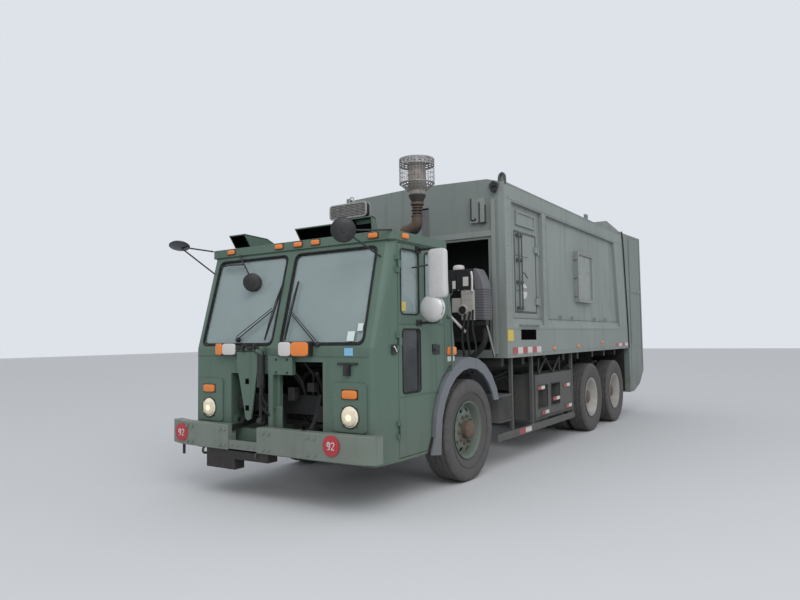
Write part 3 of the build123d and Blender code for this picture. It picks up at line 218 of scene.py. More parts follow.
def paint(name, colour, chalk=0.25, dirt=1.0, rough=0.46, road=1.1, rust_below=None):
    """Sprayed paint: fade, rain streaks and road dust up to a height in metres; bare rust below another."""
    f = Finish(name, Specular_IOR_Level=0.4, Coat_Roughness=0.3)
    fade = f.noise(0.9, 4.0).ramp(0.3, 0.72)
    streak = f.noise(1.0, 5.0, at=f.stretched((9.0, 9.0, 0.7))).ramp(0.52, 0.78)
    speck = f.noise(55.0, 2.0).ramp(0.45, 0.75)
    dust = f.height().ramp(0.25, road, 0.85, 0.0) * f.noise(3.5, 5.0).ramp(0.25, 0.7)
    tone = f.mix(fade * chalk, colour, tuple(min(1.0, c * 1.28 + 0.012) for c in colour))
    tone = f.mix(streak * (0.34 * dirt), tone, tuple(c * 0.55 for c in colour))
    tone = f.mix(dust * (0.62 * dirt), tone, ROAD_DUST)
    tone = f.mix(speck * (0.10 * dirt), tone, tuple(c * 0.6 for c in colour))
    if rust_below:
        tone = f.mix(f.height().ramp(rust_below, rust_below + 0.004, 1.0, 0.0), tone, (0.030, 0.024, 0.021))
    f.set("Base Color", tone)
    f.set("Roughness", rough + 0.16 * streak + 0.22 * dust)
    f.bump(f.noise(240.0, 2.0) * 0.6 + f.noise(18.0, 3.0), 0.0006, 0.35)
    return f.material


OLIVE = (0.090, 0.144, 0.110)
OLIVE_FADED = (0.165, 0.200, 0.168)
olive = paint("olive_paint", OLIVE)
olive_body = paint("olive_body_paint", (0.190, 0.216, 0.200), chalk=0.4, dirt=1.1, rough=0.5)
olive_side = paint("olive_side_paint", (0.232, 0.258, 0.240), chalk=0.4, dirt=1.0, rough=0.55)
olive_gate = paint("olive_gate_paint", (0.172, 0.200, 0.182), chalk=0.35, dirt=1.1, rough=0.5)
black_paint = paint("black_chassis_paint", (0.018, 0.018, 0.018), chalk=0.2, dirt=1.0, rough=0.55, road=1.5)
# Partly painted shade: this is the chassis black at half its brightness, for the frame, springs and engine
# under the cab; black is their own colour, the extra darkness is painted shade.
frame_shaded_black = paint("frame_shaded_black_paint", (0.009, 0.009, 0.009), chalk=0.2, dirt=0.4, rough=0.7, road=0.9)
white_paint = paint("white_wheel_paint", (0.50, 0.475, 0.44), chalk=0.3, dirt=1.0, rough=0.6, road=1.4)
gap_grey = paint("gap_grey_paint", (0.130, 0.132, 0.138), chalk=0.4, dirt=1.2, rough=0.6)
guard_grey = paint("guard_grey_paint", (0.075, 0.080, 0.078), chalk=0.3, dirt=1.2, rough=0.6, road=1.6)
flare_grey = paint("flare_grey_paint", (0.158, 0.170, 0.184), chalk=0.3, dirt=1.0, rough=0.6)
bumper_paint = paint("bumper_paint", OLIVE_FADED, chalk=0.4, dirt=0.9, rust_below=0.462)
print("paints", [m.name for m in (olive, olive_body, black_paint, white_paint)])

# %% [markdown]
# ## Rubber, glass, metal and the rest
# Each of the other finishes is the plainest mixture that still has the grain
# of the real one: blooms of rust on steel, a pale bloom on rubber, a faint
# green tint in the glass.  shadow_black alone is no real finish but painted
# shade: a flat black put where holes, mouths and recesses fall into shade.

# %% Other finishes
def rubber(name, colour=(0.015, 0.015, 0.017), bloom_colour=(0.075, 0.070, 0.064), amount=0.3):
    """Rubber with a paler road bloom in patches."""
    f = Finish(name, Specular_IOR_Level=0.3)
    bloom = f.noise(14.0, 4.0).ramp(0.35, 0.75)
    f.set("Base Color", f.mix(bloom * amount, colour, bloom_colour))
    f.set("Roughness", 0.72 + 0.16 * bloom)
    f.bump(f.noise(160.0, 3.0), 0.0008, 0.4)
    return f.material


def metal(name, colour, rough=0.38, rust=0.2, metallic=1.0):
    """Bare or plated metal with rust blooms."""
    f = Finish(name)
    bloom = f.noise(22.0, 5.0).ramp(0.5, 0.72) * rust
    f.set("Base Color", f.mix(bloom, colour, (0.13, 0.055, 0.026)))
    f.set("Metallic", metallic - metallic * bloom)
    f.set("Roughness", rough + 0.35 * bloom + 0.12 * f.noise(90.0, 3.0))
    f.bump(f.noise(120.0, 3.0), 0.0005, 0.3)
    return f.material


def glass(name, tint, alpha):
    """Window glass: see-through by alpha, with a cloudy film of dust."""
    f = Finish(name, IOR=1.45, Specular_IOR_Level=0.6)
    film = f.noise(3.0, 4.0).ramp(0.35, 0.8)
    f.set("Base Color", f.mix(film * 0.12, tint, (0.38, 0.43, 0.43)))
    f.set("Roughness", 0.05 + 0.06 * film)
    f.set("Alpha", alpha + 0.04 * film)
    return f.material


def plastic(name, colour, rough=0.45, grain=180.0):
    """Moulded plastic with a fine grain and a little dust."""
    f = Finish(name)
    dust = f.noise(9.0, 4.0).ramp(0.4, 0.8)
    f.set("Base Color", f.mix(dust * 0.18, colour, (0.17, 0.16, 0.14)))
    f.set("Roughness", rough + 0.2 * dust)
    f.bump(f.noise(grain, 2.0), 0.0004, 0.4)
    return f.material


tyre_rubber = rubber("tyre_rubber", (0.090, 0.085, 0.083), (0.135, 0.124, 0.114), 0.6)
seal_rubber = rubber("seal_rubber", (0.014, 0.014, 0.015))
rusty_hub = metal("rusty_hub", (0.135, 0.098, 0.074), 0.7, 0.5, 0.1)
bare_steel = metal("bare_steel", (0.42, 0.41, 0.39), 0.4, 0.55)
cast_iron = metal("cast_iron", (0.035, 0.034, 0.033), 0.65, 0.5, 0.3)
clear_glass = glass("window_glass", (0.34, 0.415, 0.41), 0.66)
dark_glass = glass("dark_glass", (0.030, 0.034, 0.036), 0.8)
black_plastic = plastic("black_plastic", (0.016, 0.016, 0.017))
# Painted shade: a flat black without shine, put in holes, scoop mouths and recesses where the shade is.
shadow_black = Finish("shadow_black", Specular_IOR_Level=0.0, Roughness=1.0).set("Base Color",
        (0.004, 0.004, 0.005)).material
seat_cloth = plastic("seat_cloth", (0.030, 0.030, 0.034), 0.8, 420.0)
amber_plastic = plastic("amber_lens", (0.78, 0.22, 0.035), 0.25)
lens_white = plastic("clear_lens", (0.92, 0.82, 0.64), 0.2)
lens_grey = plastic("grey_lens", (0.60, 0.58, 0.56), 0.2)
red_plastic = plastic("red_lens", (0.45, 0.02, 0.015), 0.25)
mirror_glass = metal("mirror_glass", (0.72, 0.73, 0.74), 0.06, 0.0)
pale_chrome = metal("pale_chrome", (0.62, 0.61, 0.60), 0.34, 0.1, 0.25)
print("finishes", len(bpy.data.materials))

# %% Paint the CAD nodes
slot_finish = {
    "paint": olive, "dark_paint": black_paint, "white_paint": white_paint, "steel": bare_steel,
    "cast": cast_iron,
    "tyre": tyre_rubber, "glass": clear_glass, "lamp": amber_plastic, "lamp_red": red_plastic,
    "trim": black_plastic,
    "seat": seat_cloth, "rubber": seal_rubber, "aluminium": bare_steel,
}
own_finish = dict.fromkeys(["body_floor", "body_front_wall", "body_roof", "lifting_eyes"], olive_body)
own_finish |= dict.fromkeys(["body_sides", "body_frame", "body_fittings", "access_door"], olive_side)
own_finish |= dict.fromkeys(["frame_rails", "front_springs", "engine"], frame_shaded_black)
# Painted shade: the ejector inside the load body takes the black chassis paint so that the inside of the
# body reads dark.
own_finish |= {"tailgate_shell": olive_gate, "ejector": black_paint, "side_guards": guard_grey,
               "side_boxes": guard_grey}
own_finish |= {"headlamps": olive, "lift_frame": olive, "front_fenders": flare_grey,
               "front_bumper": bumper_paint,
               "cooler_rack": gap_grey, "air_intake": gap_grey}
for part in frame["record"]["subparts"]:
    finish = own_finish.get(part["node"], slot_finish[part["material_slot"]])
    mesh = nodes[part["node"]].data
    mesh.materials.clear()
    mesh.materials.append(finish)

# %% [markdown]
# ## Driving sizes
# These few planes, lines and radii place almost everything that follows, in
# millimetres from the front axle.  A table row further down holds only what
# belongs to its own small piece.

# %% Driving sizes
TYRE_R = AXLE_Z = 531.0                    # the truck stands on its tyres
FRONT_TRACK = 1044                         # middle of a front tyre
TWIN_TRACKS = (1076, 746)                  # middles of the outer and inner twin
DRIVE_AXLES = ((1, 4144.0), (2, 5464.0))   # number and place of each drive axle
BOTH_SIDES = (("left", 1), ("right", -1))
CAB_SIDE = 1180                            # outside of the cab's side wall
CAB_FRONT = -1690                          # outside of its front wall
BELT, RAKE = 1430.0, 265.0 / 970.0         # where the windshield starts to lean, and by how much
BUMPER_FACE = -1865
BODY_SIDE = 1225                           # outside of the load body and the tailgate
GATE_BACK = 7480                           # rear face of the tailgate
print("wheelbases", [y for _, y in DRIVE_AXLES])

# %% [markdown]
# ## Surfaces from arrays
# Every new piece is a grid of points: a profile turned round an axle, a circle
# carried along a path, or a box whose corners come from a table row.  The
# points are worked out as whole numpy arrays, so a wheel with a thousand tread
# blocks costs no more lines than one block.  A maker at the end merges doubles,
# turns the faces outwards and hangs the piece on a body of the CAD model.

# %% Grids and joins
def grid(points, wrap_u=False, wrap_v=False):
    """Quads over points[u, v]; a wrapped side closes back on its first row."""
    n_u, n_v = points.shape[:2]
    rows, columns = np.arange(n_u if wrap_u else n_u - 1), np.arange(n_v if wrap_v else n_v - 1)
    u, v = np.meshgrid(rows, columns, indexing="ij")
    u1, v1 = (u + 1) % n_u, (v + 1) % n_v
    quads = np.stack([u * n_v + v, u1 * n_v + v, u1 * n_v + v1, u * n_v + v1], -1).reshape(-1, 4)
    return points.reshape(-1, 3).astype(float), quads


def join(parts):
    """Several (points, quads) pairs as one, with the later quads renumbered."""
    starts = np.cumsum([0] + [len(points) for points, _ in parts[:-1]])
    return (np.concatenate([points for points, _ in parts]),
            np.concatenate([quads + start for (_, quads), start in zip(parts, starts)]))


def moved(part, offset=(0, 0, 0), turn=None):
    """A part turned by a 3 x 3 matrix about the origin, then shifted."""
    points, quads = part
    if turn is not None:
        points = points @ np.asarray(turn).T
    return points + np.asarray(offset, float), quads


def both(part):
    """A part and its mirror image across the truck's middle."""
    points, quads = part
    return join([part, (points * (-1, 1, 1), quads[:, ::-1])])


def axes_to(direction):
    """Rotation whose third column is the given direction: local z goes along it."""
    w = np.asarray(direction, float) / np.linalg.norm(direction)
    side = np.array((0.0, 0.0, 1.0)) if abs(w[2]) < 0.9 else np.array((0.0, 1.0, 0.0))
    u = np.cross(side, w)
    u /= np.linalg.norm(u)
    return np.stack([u, np.cross(w, u), w], 1)


# %% Solids of a drawing
def lathe(profile, centre=(0, 0, 0), along=(0, 0, 1), steps=48):
    """Profile of (radius, height) turned round a line: x = r cos a, y = r sin a, z = height."""
    r, h = np.asarray(profile, float).T
    a = np.arange(steps) * 2 * np.pi / steps
    heights = np.broadcast_to(h, (steps, len(h)))
    points = np.stack([np.outer(np.cos(a), r), np.outer(np.sin(a), r), heights], -1)
    return moved(grid(points, wrap_u=True), centre, axes_to(along))


def boxes(table):
    """Closed boxes from rows of x0, y0, z0, x1, y1, z1; each corner is low or high by its three bits."""
    table = np.asarray(table, float).reshape(-1, 6)
    bits = (np.arange(8)[:, None] >> np.arange(3)) & 1
    points = np.where(bits[None], table[:, None, 3:], table[:, None, :3])
    quads = np.array([[0, 2, 3, 1], [4, 5, 7, 6], [0, 1, 5, 4], [2, 6, 7, 3], [0, 4, 6, 2], [1, 3, 7, 5]])
    return points.reshape(-1, 3), (quads[None] + 8 * np.arange(len(table))[:, None, None]).reshape(-1, 4)


def tube(path, radius, sides=12, closed=False):
    """Circle carried along a path: each ring lies across the mean of its two segments."""
    path = np.asarray(path, float)
    step = np.roll(path, -1, 0) - path
    if not closed:
        step[-1] = step[-2]
    step /= np.linalg.norm(step, axis=1)[:, None]
    before = np.roll(step, 1, 0)
    if not closed:
        before[0] = step[0]
    ahead = step + before
    ahead /= np.linalg.norm(ahead, axis=1)[:, None]
    spread = 1 / np.clip((ahead * step).sum(1), 0.35, 1)
    side = np.array((0.0, 0.0, 1.0)) if np.abs(ahead[:, 2]).max() < 0.93 else np.array((0.31, 0.95, 0.05))
    u = np.cross(side, ahead)
    u /= np.linalg.norm(u, axis=1)[:, None]
    v = np.cross(ahead, u)
    a = np.arange(sides) * 2 * np.pi / sides
    ring = radius * (np.cos(a)[None, :, None] * u[:, None] * spread[:, None, None]
                     + np.sin(a)[None, :, None] * v[:, None])
    points = path[:, None] + ring
    if not closed:
        points = np.concatenate([path[:1, None].repeat(sides, 1), points, path[-1:, None].repeat(sides, 1)])
    return grid(points, wrap_u=closed, wrap_v=True)


def arc_path(points, radius, steps=6):
    """Path whose corners are rounded: each corner becomes the curve (1-t)^2 A + 2t(1-t) P + t^2 B."""
    points = np.asarray(points, float)
    t = np.linspace(0, 1, steps)[:, None]
    rows = [points[:1]]
    for a, p, b in zip(points[:-2], points[1:-1], points[2:]):
        near = p + (a - p) / np.linalg.norm(a - p) * min(radius, np.linalg.norm(a - p) * 0.49)
        far = p + (b - p) / np.linalg.norm(b - p) * min(radius, np.linalg.norm(b - p) * 0.49)
        rows.append((1 - t) ** 2 * near + 2 * t * (1 - t) * p + t ** 2 * far)
    return np.concatenate(rows + [points[-1:]])


def ring_path(corners, radius, steps=6):
    """Closed path through corner points, each rounded off by the same curve as an open path's."""
    corners = np.asarray(corners, float)
    t = np.linspace(0, 1, steps)[:, None]
    before, after = np.roll(corners, 1, 0), np.roll(corners, -1, 0)
    near = corners + (before - corners) / np.linalg.norm(before - corners, axis=1)[:, None] * radius
    far = corners + (after - corners) / np.linalg.norm(after - corners, axis=1)[:, None] * radius
    curve = (1 - t) ** 2 * near[:, None] + 2 * t * (1 - t) * corners[:, None] + t ** 2 * far[:, None]
    return curve.reshape(-1, 3)


def slab(edge, thickness_vector, inset=0.0):
    """Plate with a closed edge: rings at inner centre, front edge, back edge and centre again."""
    edge = np.asarray(edge, float)
    centre = edge.mean(0)
    w = np.asarray(thickness_vector, float)
    rings = [np.broadcast_to(centre, edge.shape), edge + (centre - edge) * inset,
             edge + w * (0.0 if inset == 0 else 0.25),
             edge + w, np.broadcast_to(centre + w, edge.shape)]
    return grid(np.stack(rings), wrap_v=True)


def pierced(front, back):
    """Sheet with holes: every second cell both ways is left out, with walls between the two faces."""
    n_u, n_v = front.shape[:2]
    points = np.concatenate([front.reshape(-1, 3), back.reshape(-1, 3)])
    u, v = np.meshgrid(np.arange(n_u), np.arange(n_v - 1), indexing="ij")
    u1, v1, far = (u + 1) % n_u, v + 1, n_u * n_v
    loop = np.stack([u * n_v + v, u1 * n_v + v, u1 * n_v + v1, u * n_v + v1], -1)
    hole = (u % 2 == 1) & (v % 2 == 1)
    sheet, cut = loop[~hole], loop[hole]
    walls = [np.stack([cut[:, k], cut[:, (k + 1) % 4], cut[:, (k + 1) % 4] + far, cut[:, k] + far], -1)
             for k in range(4)]
    rims = [np.stack([e, np.roll(e, -1), np.roll(e, -1) + far, e + far], -1)
            for e in (np.arange(n_u) * n_v, np.arange(n_u) * n_v + n_v - 1)]
    return points, np.concatenate([sheet, sheet[:, ::-1] + far] + walls + rims)


def pierced_band(profile, centre, steps=48, thick=4.0):
    """A pierced sheet turned about an upright line: profile of (radius, z), the back face lies inside it."""
    r, z = np.asarray(profile, float).T
    k = np.arange(steps)
    a = (k + 0.2 - 0.4 * (k % 2)) * 2 * np.pi / steps
    faces = [np.stack([np.outer(np.cos(a), r - t), np.outer(np.sin(a), r - t),
                       np.broadcast_to(z + t * 0.5, (steps, len(z)))], -1) + centre
             for t in (0.0, thick)]
    return pierced(*faces)


def studs(places, along, radius=9.0, height=7.0, sides=6):
    """Bolt heads: a low prism with a chamfered top at each place."""
    profile = [(0, 0), (radius, 0), (radius, height * 0.75), (radius * 0.8, height), (0, height)]
    points, quads = lathe(profile, (0, 0, 0), along, sides)
    places = np.asarray(places, float).reshape(-1, 3)
    return ((points[None] + places[:, None]).reshape(-1, 3),
            (quads[None] + len(points) * np.arange(len(places))[:, None, None]).reshape(-1, 4))


# %% Make a piece
made = {}


def piece(name, parts, finish, body, hides=(), bevel=0.0, angle=38.0):
    """Put parts into one mesh, close it, turn it outwards and hang it on a body."""
    points, quads = join(parts if isinstance(parts, list) else [parts])
    mesh = bpy.data.meshes.new(name)
    mesh.vertices.add(len(points))
    mesh.vertices.foreach_set("co", (points * 0.001 + (0, AXLE_SHIFT, 0)).astype(np.float32).ravel())
    mesh.loops.add(quads.size)
    mesh.loops.foreach_set("vertex_index", quads.astype(np.int32).ravel())
    mesh.polygons.add(len(quads))
    mesh.polygons.foreach_set("loop_start", np.arange(0, quads.size, 4, dtype=np.int32))
    mesh.update(calc_edges=True)
    work = bmesh.new()
    work.from_mesh(mesh)
    bmesh.ops.remove_doubles(work, verts=work.verts, dist=2e-5)
    bmesh.ops.dissolve_degenerate(work, edges=work.edges, dist=1e-6)
    bmesh.ops.recalc_face_normals(work, faces=work.faces)
    work.to_mesh(mesh)
    work.free()
    mesh.polygons.foreach_set("use_smooth", np.ones(len(mesh.polygons), bool))
    mesh.set_sharp_from_angle(angle=math.radians(angle))
    mesh.materials.append(finish)
    thing = bpy.data.objects.new(name, mesh)
    bpy.context.scene.collection.objects.link(thing)
    if bevel:
        edge = thing.modifiers.new("edge", "BEVEL")
        edge.width, edge.segments, edge.limit_method = bevel * 0.001, 2, "ANGLE"
    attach(thing, body)
    if hides:
        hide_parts(*hides)
    made[name] = len(mesh.polygons)
    print(name, len(mesh.polygons), "faces")
    return thing


# %% [markdown]
# ## Tyres and wheels
# A truck tyre is a ring of rubber whose outline is nearly square at the tread
# and bulges at the side walls.  The outline is drawn once as radius against
# width, then pushed inwards where the tread is cut: long grooves run round the
# tyre and short cross cuts break the ribs into blocks.

# %% Tyres
BEAD_R, RIM_HALF = 286.0, 112.0
TREAD_DEPTH, BLOCK_DEPTH = 13.0, 7.0


def tyre_part(middle, width, y, blocks=58):
    """Tyre about the X axis: a side wall arc, a crowned tread, and grooves as steps in the radius."""
    half = width / 2
    t = np.linspace(0, np.pi / 2, 9)
    wall_x = RIM_HALF - 8 + (half - RIM_HALF + 8) * np.sin(t * 1.18)
    wall_r = BEAD_R + 20 + (TYRE_R - 62 - BEAD_R) * (t / t[-1])
    shoulder = np.array([[half - 6, TYRE_R - 26], [half - 16, TYRE_R - 9], [half - 26, TYRE_R - 4]])
    run = np.linspace(half - 30, -half + 30, 29)
    side = np.stack([wall_x, wall_r], 1)
    line = np.concatenate([side, shoulder, np.stack([run, np.full(29, TYRE_R)], 1),
                           shoulder[::-1] * (-1, 1), side[::-1] * (-1, 1)])
    steps = blocks * 6
    a = np.arange(steps) * 2 * np.pi / steps
    x, r = (np.broadcast_to(column, (steps, len(line))) for column in line.T)
    on_tread = np.abs(x) < half - 28
    lane = np.abs(((x + half) / (width / 5)) % 1 - 0.5) * 2
    groove = on_tread & (lane > 0.84) & (np.abs(x) < half - 44)
    zigzag = (np.arange(steps)[:, None] + (np.abs(x) / (width / 5)).astype(int) * 3) % 6 == 0
    cut = (on_tread | (np.abs(x) > half - 20) & (r > TYRE_R - 30)) & zigzag
    wall_line = (r > TYRE_R - 130) & (r < TYRE_R - 118)
    r = r - TREAD_DEPTH * groove - BLOCK_DEPTH * (cut & ~groove) + 0.9 * wall_line
    points = np.stack([x + middle, r * np.cos(a)[:, None] + y, r * np.sin(a)[:, None] + AXLE_Z], -1)
    wall = grid(points, wrap_u=True)
    bead_y, bead_z = (BEAD_R - 1.0) * np.cos(a) + y, (BEAD_R - 1.0) * np.sin(a) + AXLE_Z
    low, high = (np.stack([np.full(steps, edge_x + middle), bead_y, bead_z], -1)
                 for edge_x in (line[-1, 0], line[0, 0]))
    bore = grid(np.stack([points[:, -1], low, high, points[:, 0]], 1), wrap_u=True)
    return join([wall, bore])


def wall_ring_parts(middle, width, y):
    """Two raised rings on the outer side wall."""
    half = width / 2
    return [lathe([(r - 3, half - 7), (r, half - 2), (r + 3, half - 7)], (middle, y, AXLE_Z), (1, 0, 0), 72)
            for r in (392.0, 470.0)]


for side, sign in BOTH_SIDES:
    wall_rings = [moved(p, turn=np.diag([sign, 1, 1])) for p in wall_ring_parts(FRONT_TRACK, 300, 0)]
    piece(f"front_tyre_{side}_tread", [tyre_part(sign * FRONT_TRACK, 300, 0)] + wall_rings,
          tyre_rubber, f"front_wheel_{side}", (f"front_tyre_{side}",), angle=30)
    for number, y in DRIVE_AXLES:
        twins = [tyre_part(sign * x, 272, y, 46) for x in TWIN_TRACKS]
        piece(f"drive_tyres_{number}_{side}_tread", twins, tyre_rubber, f"drive_wheel_{number}_{side}",
              (f"drive_tyres_{number}_{side}",), angle=30)

# %% [markdown]
# The steel wheel is a rolled rim with a pressed disc welded inside it.  The disc
# is made of ten equal sectors, and each sector is a grid that blends from a
# round hand hole in its middle to its own straight border, so the holes are
# real openings and the whole disc still is one formula.

# %% Rims and discs
def rim_part(middle, y):
    """Rolled rim: lips, bead seats, safety humps and drop centre, as radius against width."""
    outer = [(300, -119), (301, -114), (296, -112), (288, -106), (284, -80), (262, -58),
             (260, 10), (282, 44), (286, 100), (296, 112), (301, 114), (300, 119)]
    inner = [(r - 9, h) for r, h in outer[::-1]]
    return lathe(outer + inner + outer[:1], (middle, y, AXLE_Z), (1, 0, 0), 72)


def disc_part(y, face, root, sign, holes=10):
    """Pressed disc; height along the axle is a smooth step of radius, and each sector has a hole in it."""
    phi = np.linspace(0, 2 * np.pi, 25)[:-1] + np.pi / 24
    half_angle = np.pi / holes
    low_r, hole_line, high_r, hole_r = 150.0, 212.0, 274.0, 26.0
    box_u = np.clip(np.sqrt(2) * np.cos(phi), -1, 1)
    box_v = np.clip(np.sqrt(2) * np.sin(phi), -1, 1)
    edge_a, edge_r = half_angle * box_u, (low_r + high_r) / 2 + (high_r - low_r) / 2 * box_v
    hole_a, hole_rr = hole_r * np.cos(phi) / hole_line * 1.1, hole_line + hole_r * np.sin(phi) * 0.95
    t = np.linspace(0, 1, 5)[:, None]
    a = hole_a * (1 - t) + edge_a * t
    r = hole_rr * (1 - t) + edge_r * t
    turn = np.arange(holes)[:, None, None] * 2 * np.pi / holes
    a, r = a[None] + turn, np.broadcast_to(r[None], (holes,) + r.shape)
    parts = []
    s = np.clip((r - 165) / (high_r - 165), 0, 1)
    s = s * s * (3 - 2 * s)
    for depth in (0.0, -11.0):
        x = face + (root - face) * s + depth
        parts.append(np.stack([sign * x, r * np.cos(a) + y, r * np.sin(a) + AXLE_Z], -1))
    front, back = parts
    out = []
    for k in range(holes):
        out += [grid(front[k], wrap_v=True), grid(back[k][::-1], wrap_v=True),
                grid(np.stack([front[k][0], back[k][0]]), wrap_v=True)]
    centre = lathe([(150, -11), (150, 0), (112, 0), (112, 2), (88, 2), (88, -11)], (0, 0, 0), (1, 0, 0), 60)
    out.append((centre[0] * (sign, 1, 1) + (sign * face, y, AXLE_Z), centre[1]))
    return join(out)


def nut_ring(face, y, sign, radius=143.0, count=10):
    """Wheel nuts with washers and stud ends round the bolt circle."""
    a = np.arange(count) * 2 * np.pi / count + 0.1
    ring = [np.full(count, sign * face), radius * np.cos(a) + y, radius * np.sin(a) + AXLE_Z]
    places = np.stack(ring, -1)
    return [studs(places, (sign, 0, 0), 21, 4, 20), studs(places, (sign, 0, 0), 16, 24),
            studs(places, (sign, 0, 0), 8, 36, 10)]


def hub_part(inner, face, y, sign, radius, reach):
    """Hub barrel, its flange ring of bolts and a domed grease cap."""
    tip = face + reach
    body = lathe([(0, inner), (radius, inner), (radius, tip - 16), (radius - 10, tip - 6),
                  (radius - 22, tip),
                  (radius - 30, tip + 8), (radius * 0.35, tip + 14), (0, tip + 15)], (0, 0, 0), (1, 0, 0),
                  40)
    a = np.arange(8) * np.pi / 4
    ring = [np.full(8, tip - 4), (radius - 16) * np.cos(a), (radius - 16) * np.sin(a)]
    bolts = studs(np.stack(ring, -1), (1, 0, 0), 8, 8)
    drum = lathe([(92, inner), (205, inner), (207, inner + 6), (207, inner + 40), (198, inner + 46),
                  (92, inner + 48)], (0, 0, 0), (1, 0, 0), 48)
    points, quads = join([body, bolts, drum])
    return points * (sign, 1, 1) + (0, y, AXLE_Z), quads


front_green = paint("front_wheel_paint", (0.130, 0.168, 0.138), chalk=0.4, dirt=1.0, rough=0.6, road=1.6)
for side, sign in BOTH_SIDES:
    piece(f"front_wheel_{side}_steel",
          [rim_part(sign * FRONT_TRACK, 0), disc_part(0, 1118.0, 1078.0, sign)],
          front_green, f"front_wheel_{side}")
    piece(f"front_nuts_{side}", nut_ring(1118, 0, sign), rusty_hub, f"front_wheel_{side}")
    piece(f"front_hub_{side}", hub_part(962, 1118, 0, sign, 96, 78), rusty_hub, f"front_wheel_{side}",
          (f"front_wheel_{side}",))
    for number, y in DRIVE_AXLES:
        steel = [rim_part(sign * x, y) for x in TWIN_TRACKS]
        steel += [disc_part(y, 925.0, 1094.0, sign), disc_part(y, 911.0, 812.0, sign)]
        piece(f"drive_wheels_{number}_{side}_steel", steel, white_paint, f"drive_wheel_{number}_{side}")
        hub = [hub_part(741, 925, y, sign, 104, 214)] + nut_ring(925, y, sign)
        piece(f"drive_hub_{number}_{side}", hub, rusty_hub, f"drive_wheel_{number}_{side}",
              (f"drive_wheels_{number}_{side}",))
print("wheels", sum(made.values()), "faces")

# %% [markdown]
# ## Glass and its seals
# Fixed truck windows sit in a black rubber moulding that laps both the glass
# and the steel.  Each moulding is one closed tube: the four corners of the
# opening are rounded off, then lifted onto the raked plane of the windshield or
# set flat on the door.

# %% Window seals
def on_windshield(x, z, off=0.0):
    """Points on the raked windshield wall: Y grows with height, off stands in front of it."""
    x, z = np.broadcast_arrays(np.asarray(x, float), np.asarray(z, float))
    return np.stack([x, CAB_FRONT + (z - BELT) * RAKE - off, z], -1)


pane = np.array([(52, 1462), (1040, 1462), (1032, 2345), (52, 2345)], float)
loop = ring_path(np.stack([pane[:, 0], pane[:, 1] * 0, pane[:, 1]], 1), 66.0)
seal = tube(on_windshield(loop[:, 0], loop[:, 2], 2.0), 9.0, 10, closed=True)
lip_loop = np.stack([loop[:, 0], loop[:, 2]]) * 0.965 + np.array([[19.0], [66.0]])
inner_lip = tube(on_windshield(*lip_loop, -6.0), 5.0, 8, closed=True)
piece("windshield_seals", both(join([seal, inner_lip])), seal_rubber, "cab")

door_panes = [(-1300, -990, 1728, 2325, 45), (-880, -570, 1728, 2325, 45), (-1280, -975, 1010, 1592, 40)]
door_loops = [ring_path([(1181.0, y0, z0), (1181.0, y1, z0), (1181.0, y1, z1), (1181.0, y0, z1)], r)
              for y0, y1, z0, z1, r in door_panes]
for side, sign in BOTH_SIDES:
    parts = [tube(p * (sign, 1, 1), 7.0, 8, closed=True) for p in door_loops]
    parts += [tube(p * (sign, 1, 1) - (sign * 44, 0, 0), 7.0, 8, closed=True) for p in door_loops]
    piece(f"door_seals_{side}", parts, seal_rubber, f"door_{side}")

# %% [markdown]
# The door's own hardware is small but near the eye: a black paddle in its cup
# and a tall and a round mirror on bent tubes.  A lever and a grab rail stand on
# the wall behind it.

# %% Door hardware
silver = metal("bright_steel", (0.86, 0.86, 0.85), 0.25, 0.06, 0.75)
STEM_X, STEM_Y = 1411, -994
TALL_MIRROR = (STEM_X, 0, 2104)
ROUND_MIRROR = (1336, -1000, 1784)


def tall_ring(edge, y, grow):
    """The tall mirror's outline at one depth, drawn together about its middle."""
    return (edge - TALL_MIRROR) * (grow, 1, grow) + (STEM_X, y, TALL_MIRROR[2])


